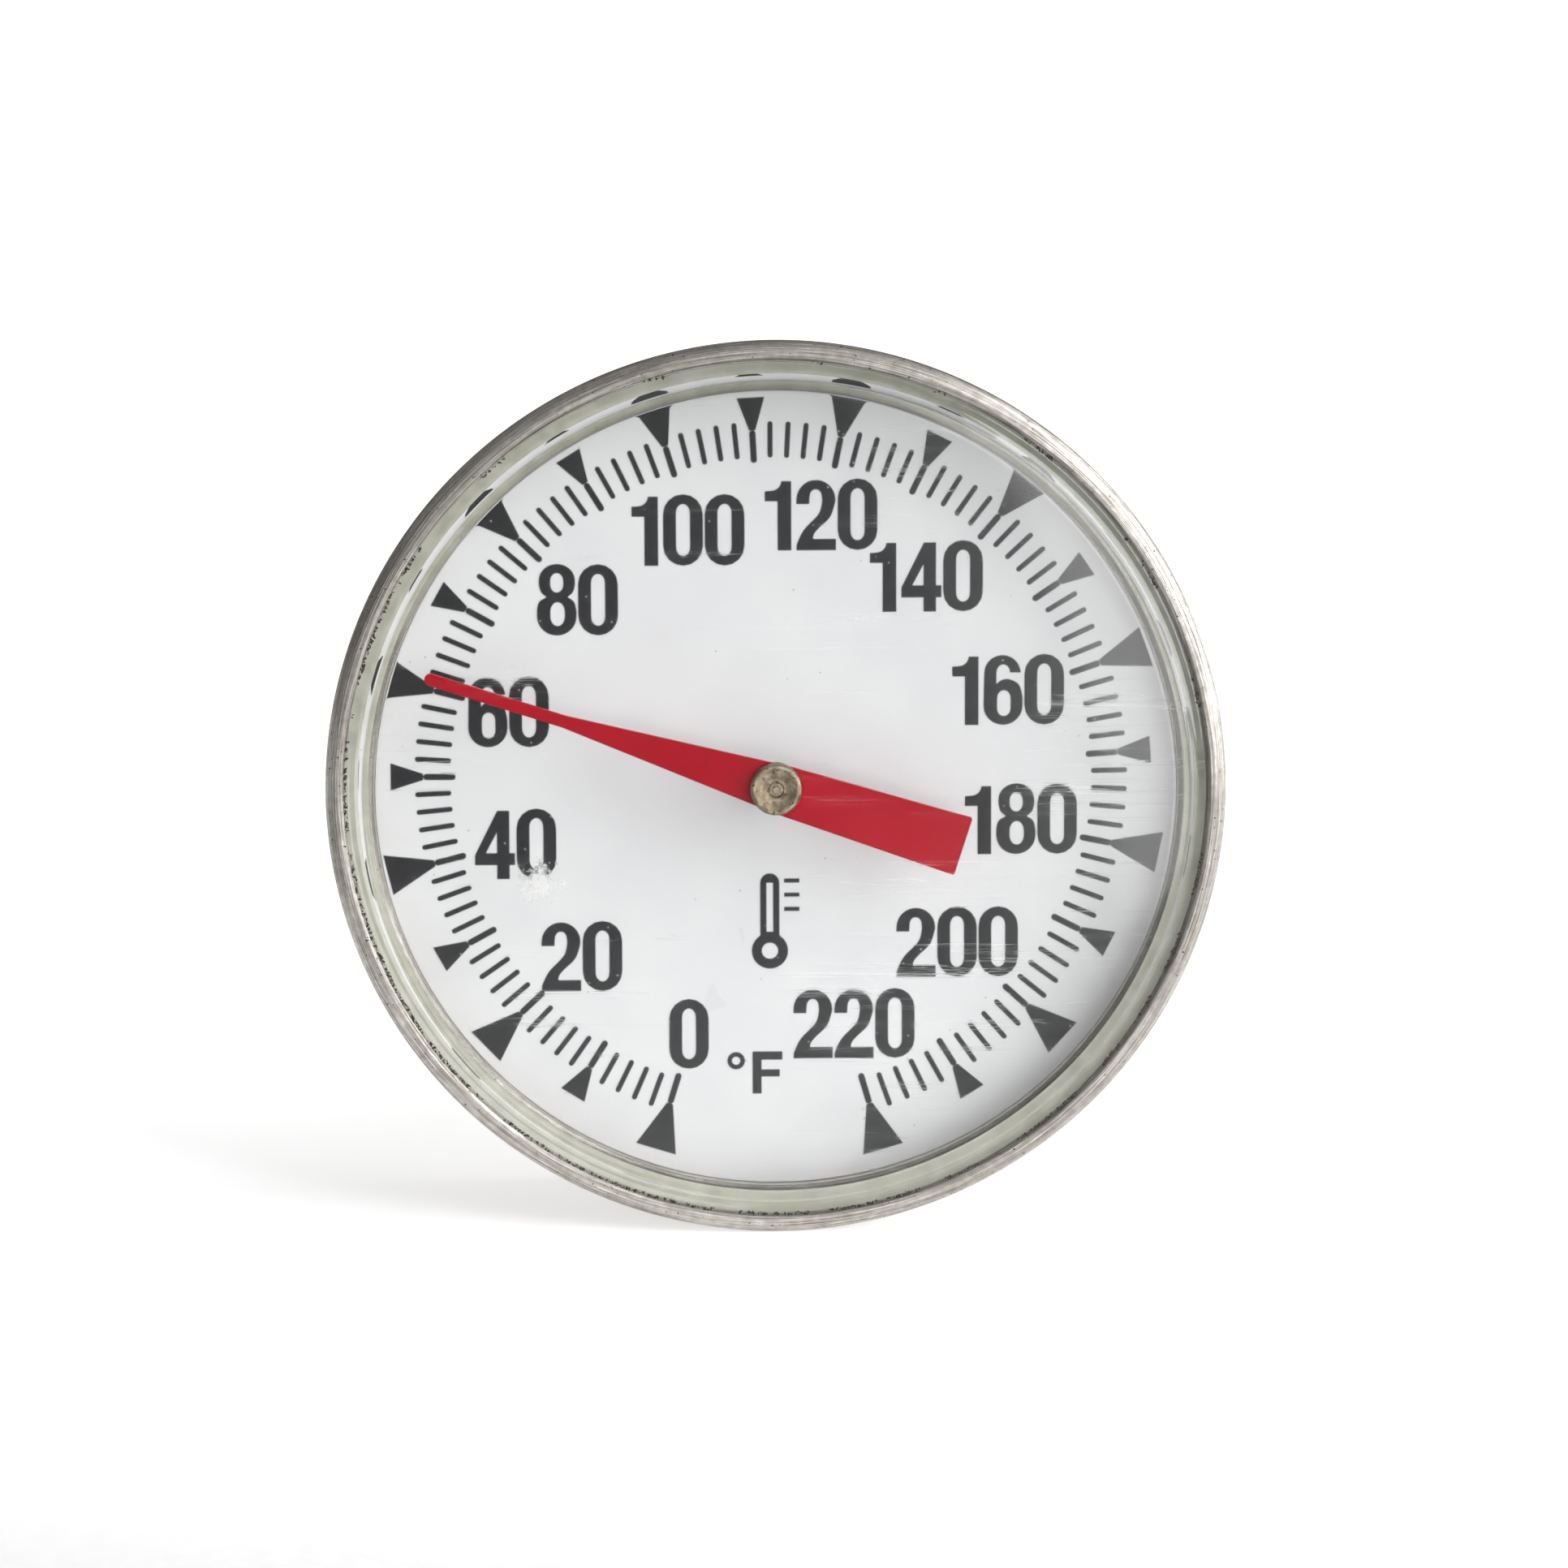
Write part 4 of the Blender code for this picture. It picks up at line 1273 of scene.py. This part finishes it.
makeStem()
makeNut()
makeCoil()
kept = {
    "retaining_clip": springSteel,
    "wave_washer": springSteel,
    "seal_washer": blackNitrile,
    "upper_bushing": agedBrass,
    "middle_bushing": agedBrass,
    "lower_bushing": agedBrass,
    "coil_anchor": turnedSteel,
    "coil_cap": turnedSteel,
    "spindle": groundSteel,
}
for nodeName, material in kept.items():
    node = frame["nodes"][nodeName]
    node.data.materials.clear()
    node.data.materials.append(material)
print("stem made")


# crumbs packed into the joint between crystal and rim, and nicks in the rim's lip
jointGrime = {
    "Count": 3600,
    "Ring radius": 22.44,
    "Spread": 0.13,
    "Height": 4.84,
    "Size": 0.038,
    "Cluster": 0.5,
    "Low down": 0.11,
    "Seed": 7,
    "Finish": packedGrime,
}
rimNicks = {
    "Count": 420,
    "Ring radius": 22.8,
    "Spread": 0.25,
    "Height": 4.88,
    "Size": 0.026,
    "Cluster": 0.57,
    "Low down": 0.03,
    "Seed": 21,
    "Finish": packedGrime,
}


# what every fleck varies by: its size, how long it is for that, how flat it lies and how it turns
fleckShape = {
    "size": (0.3, 1.3),
    "length": (0.6, 2.6),
    "flatness": 0.5,
    "turn": 0.9,
    "contrast": 1.8,
    "clumpScale": 0.55,
    "leaning": 0.5,
}


def fleckTree(flecks):
    tree, sizes = newTree("ringFlecks", flecks)
    points = addNode(tree, "GeometryNodePoints", {"Count": sizes["Count"]})

    def chance(low, high, offset):  # a random value for each fleck
        seed = addNode(tree, "ShaderNodeMath", {0: sizes["Seed"], 1: offset}, operation="ADD")
        inputs = {"Min": low, "Max": high, "Seed": seed}
        return addNode(tree, "FunctionNodeRandomValue", inputs, data_type="FLOAT")

    angle = chance(0.0, tau, 0.0)
    offset = addNode(
        tree, "ShaderNodeMath", {0: chance(-1.0, 1.0, 1.0), 1: chance(0.0, 1.0, 2.0)}, operation="MULTIPLY"
    )
    radius = addNode(
        tree,
        "ShaderNodeMath",
        {0: offset, 1: sizes["Spread"], 2: sizes["Ring radius"]},
        operation="MULTIPLY_ADD",
    )
    across = addNode(tree, "ShaderNodeMath", {0: angle}, operation="COSINE")
    up = addNode(tree, "ShaderNodeMath", {0: angle}, operation="SINE")
    x = addNode(tree, "ShaderNodeMath", {0: across, 1: radius}, operation="MULTIPLY")
    y = addNode(tree, "ShaderNodeMath", {0: up, 1: radius}, operation="MULTIPLY")
    place = addNode(tree, "ShaderNodeCombineXYZ", {"X": x, "Y": y, "Z": sizes["Height"]})
    laid = addNode(tree, "GeometryNodeSetPosition", {"Geometry": points, "Position": place})
    # more of them low down and to the right, where the head is set down and wiped least
    leaning = addNode(tree, "ShaderNodeMath", {0: angle, 1: fleckShape["leaning"]}, operation="ADD")
    level = addNode(tree, "ShaderNodeMath", {0: leaning}, operation="SINE")
    lack = addNode(tree, "ShaderNodeMath", {0: level, 1: sizes["Low down"]}, operation="MULTIPLY")
    clump = addNode(
        tree, "ShaderNodeTexNoise", {"Vector": place, "Scale": fleckShape["clumpScale"], "Detail": 4.0}
    )
    density = addNode(tree, "ShaderNodeMath", {0: clump, 1: lack}, operation="SUBTRACT")
    sparse = addNode(tree, "ShaderNodeMath", {0: density, 1: sizes["Cluster"]}, operation="LESS_THAN")
    left = addNode(tree, "GeometryNodeDeleteGeometry", {"Geometry": laid, "Selection": sparse})
    fleck = addNode(tree, "GeometryNodeMeshIcoSphere", {"Radius": sizes["Size"], "Subdivisions": 1})
    drawn = chance(*fleckShape["size"], 3.0)
    size = addNode(tree, "ShaderNodeMath", {0: drawn, 1: fleckShape["contrast"]}, operation="POWER")
    longer = chance(*fleckShape["length"], 4.0)
    length = addNode(tree, "ShaderNodeMath", {0: size, 1: longer}, operation="MULTIPLY")
    height = addNode(tree, "ShaderNodeMath", {0: size, 1: fleckShape["flatness"]}, operation="MULTIPLY")
    shape = addNode(tree, "ShaderNodeCombineXYZ", {"X": size, "Y": length, "Z": height})
    askew = chance(-fleckShape["turn"], fleckShape["turn"], 5.0)
    spin = addNode(tree, "ShaderNodeMath", {0: angle, 1: askew}, operation="ADD")
    turned = addNode(tree, "ShaderNodeCombineXYZ", {"Z": spin})
    placed = addNode(
        tree,
        "GeometryNodeInstanceOnPoints",
        {"Points": left, "Instance": fleck, "Scale": shape, "Rotation": turned},
    )
    endTree(tree, placed, sizes["Finish"])
    return tree


tree = fleckTree(jointGrime)
for fleckName, flecks in (("jointGrime", jointGrime), ("rimNicks", rimNicks)):
    finishPiece(fleckName, runTree(tree, flecks, fleckName), packedGrime, "head", sharp=180)
print("grime laid")


studio = {
    "floorSize": 8.0,
    "floorDark": "#ebebeb",
    "floorLight": "#f0f0f0",
    "floorFrontShade": "#b0b0b0",
    "frontShadeFrom": -0.125,  # painted shade: the sweep's colour is greyed out in front of the object
    "frontShadeTo": -0.165,
    "glowFrom": -0.12,  # and a light table behind it
    "glowTo": -0.06,
    "glowLow": 0.06,
    "glowHigh": 0.6,
    "zenith": 0.4,
    "horizon": 0.1,
}
# each lamp: place and aim in metres, width, height, roll in degrees and radiance
lamps = {
    "keySoftbox": ((0.42, -0.18, 0.26), (0, -0.06, 0.02), 0.5, 0.5, 0, 5.85),
    "frontSoftbox": ((0.158, -0.62, 0.1), (0.158, 0, 0.1), 0.2, 0.3, 12, 4.2),
    "softboxEdge": ((0.045, -0.61, 0.085), (0.045, 0, 0.085), 0.03, 0.24, 12, 0.5),
}
shot = {
    "distance": 0.34,
    "elevation": 17.4,
    "azimuth": -1.2,
    "aimRight": 0.405,
    "aimUp": 0.3,
    "aimDepth": 4.2,
    "frameWidth": 81.8,
}


def makeFloor():
    mesh = bpy.data.meshes.new("floor")
    half = studio["floorSize"] / 2
    corners = [(-half, -half, 0), (half, -half, 0), (half, half, 0), (-half, half, 0)]
    mesh.from_pydata(corners, [], [(0, 1, 2, 3)])
    floor = bpy.data.objects.new("floor", mesh)
    scene.collection.objects.link(floor)
    made, tree, shader = newMaterial("whiteSweep", Roughness=0.8, Emission_Color=(1, 1, 1, 1))
    place = addNode(tree, "ShaderNodeTexCoord").outputs["Object"]
    fibre = addNode(tree, "ShaderNodeTexNoise", {"Vector": place, "Scale": 900.0, "Detail": 2.0})
    tone = addNode(
        tree, "ShaderNodeValToRGB", {0: fibre}, [(0.3, studio["floorDark"]), (0.7, studio["floorLight"])]
    )
    depth = addNode(tree, "ShaderNodeSeparateXYZ", {0: place}).outputs["Y"]
    # painted shade: the floor's colour greys towards the front, standing in for shade there
    near = addNode(
        tree,
        "ShaderNodeMapRange",
        {"Value": depth, "From Min": studio["frontShadeFrom"], "From Max": studio["frontShadeTo"]},
    )
    toneWithFrontShade = addNode(
        tree,
        "ShaderNodeMix",
        {"Factor": near, "A": tone, "B": linear(studio["floorFrontShade"])},
        data_type="RGBA",
    )
    wire(tree, toneWithFrontShade, shader.inputs["Base Color"])
    glow = addNode(
        tree,
        "ShaderNodeMapRange",
        {
            "Value": depth,
            "From Min": studio["glowFrom"],
            "From Max": studio["glowTo"],
            "To Min": studio["glowLow"],
            "To Max": studio["glowHigh"],
        },
    )
    wire(tree, glow, shader.inputs["Emission Strength"])
    floor.data.materials.append(made)


def makeWorld():
    world = bpy.data.worlds.new("studio")
    world.use_nodes = True
    tree = world.node_tree
    direction = addNode(tree, "ShaderNodeTexCoord").outputs["Generated"]
    height = addNode(tree, "ShaderNodeSeparateXYZ", {0: direction}).outputs["Z"]
    sky = addNode(
        tree, "ShaderNodeValToRGB", {0: height}, [(0.0, studio["horizon"]), (1.0, studio["zenith"])]
    )
    wire(tree, sky, tree.nodes["Background"].inputs["Color"])
    scene.world = world


def addLamp(name, place, aim, width, height, roll, radiance):
    light = bpy.data.lights.new(name, "AREA")
    light.shape = "RECTANGLE"
    light.size = width
    light.size_y = height
    light.energy = radiance * pi * width * height
    lamp = bpy.data.objects.new(name, light)
    lamp.location = place
    facing = (Vector(aim) - Vector(place)).to_track_quat("-Z", "Y").to_matrix()
    lamp.rotation_euler = (facing @ Matrix.Rotation(radians(roll), 3, "Z")).to_euler()
    scene.collection.objects.link(lamp)


def makeCamera():
    aim = intoPlace @ Vector((shot["aimRight"], shot["aimUp"], shot["aimDepth"]))
    up, side = radians(shot["elevation"]), radians(shot["azimuth"])
    back = Vector((sin(side) * cos(up), -cos(side) * cos(up), sin(up)))
    data = bpy.data.cameras.new("camera")
    data.lens = data.sensor_width * shot["distance"] / (shot["frameWidth"] * mm)
    data.clip_start = 0.01
    camera = bpy.data.objects.new("camera", data)
    camera.location = aim + back * shot["distance"]
    camera.rotation_euler = (-back).to_track_quat("-Z", "Y").to_euler()
    scene.collection.objects.link(camera)
    scene.camera = camera


makeFloor()
makeWorld()
for lampName, values in lamps.items():
    addLamp(lampName, *values)
makeCamera()
print("studio set")
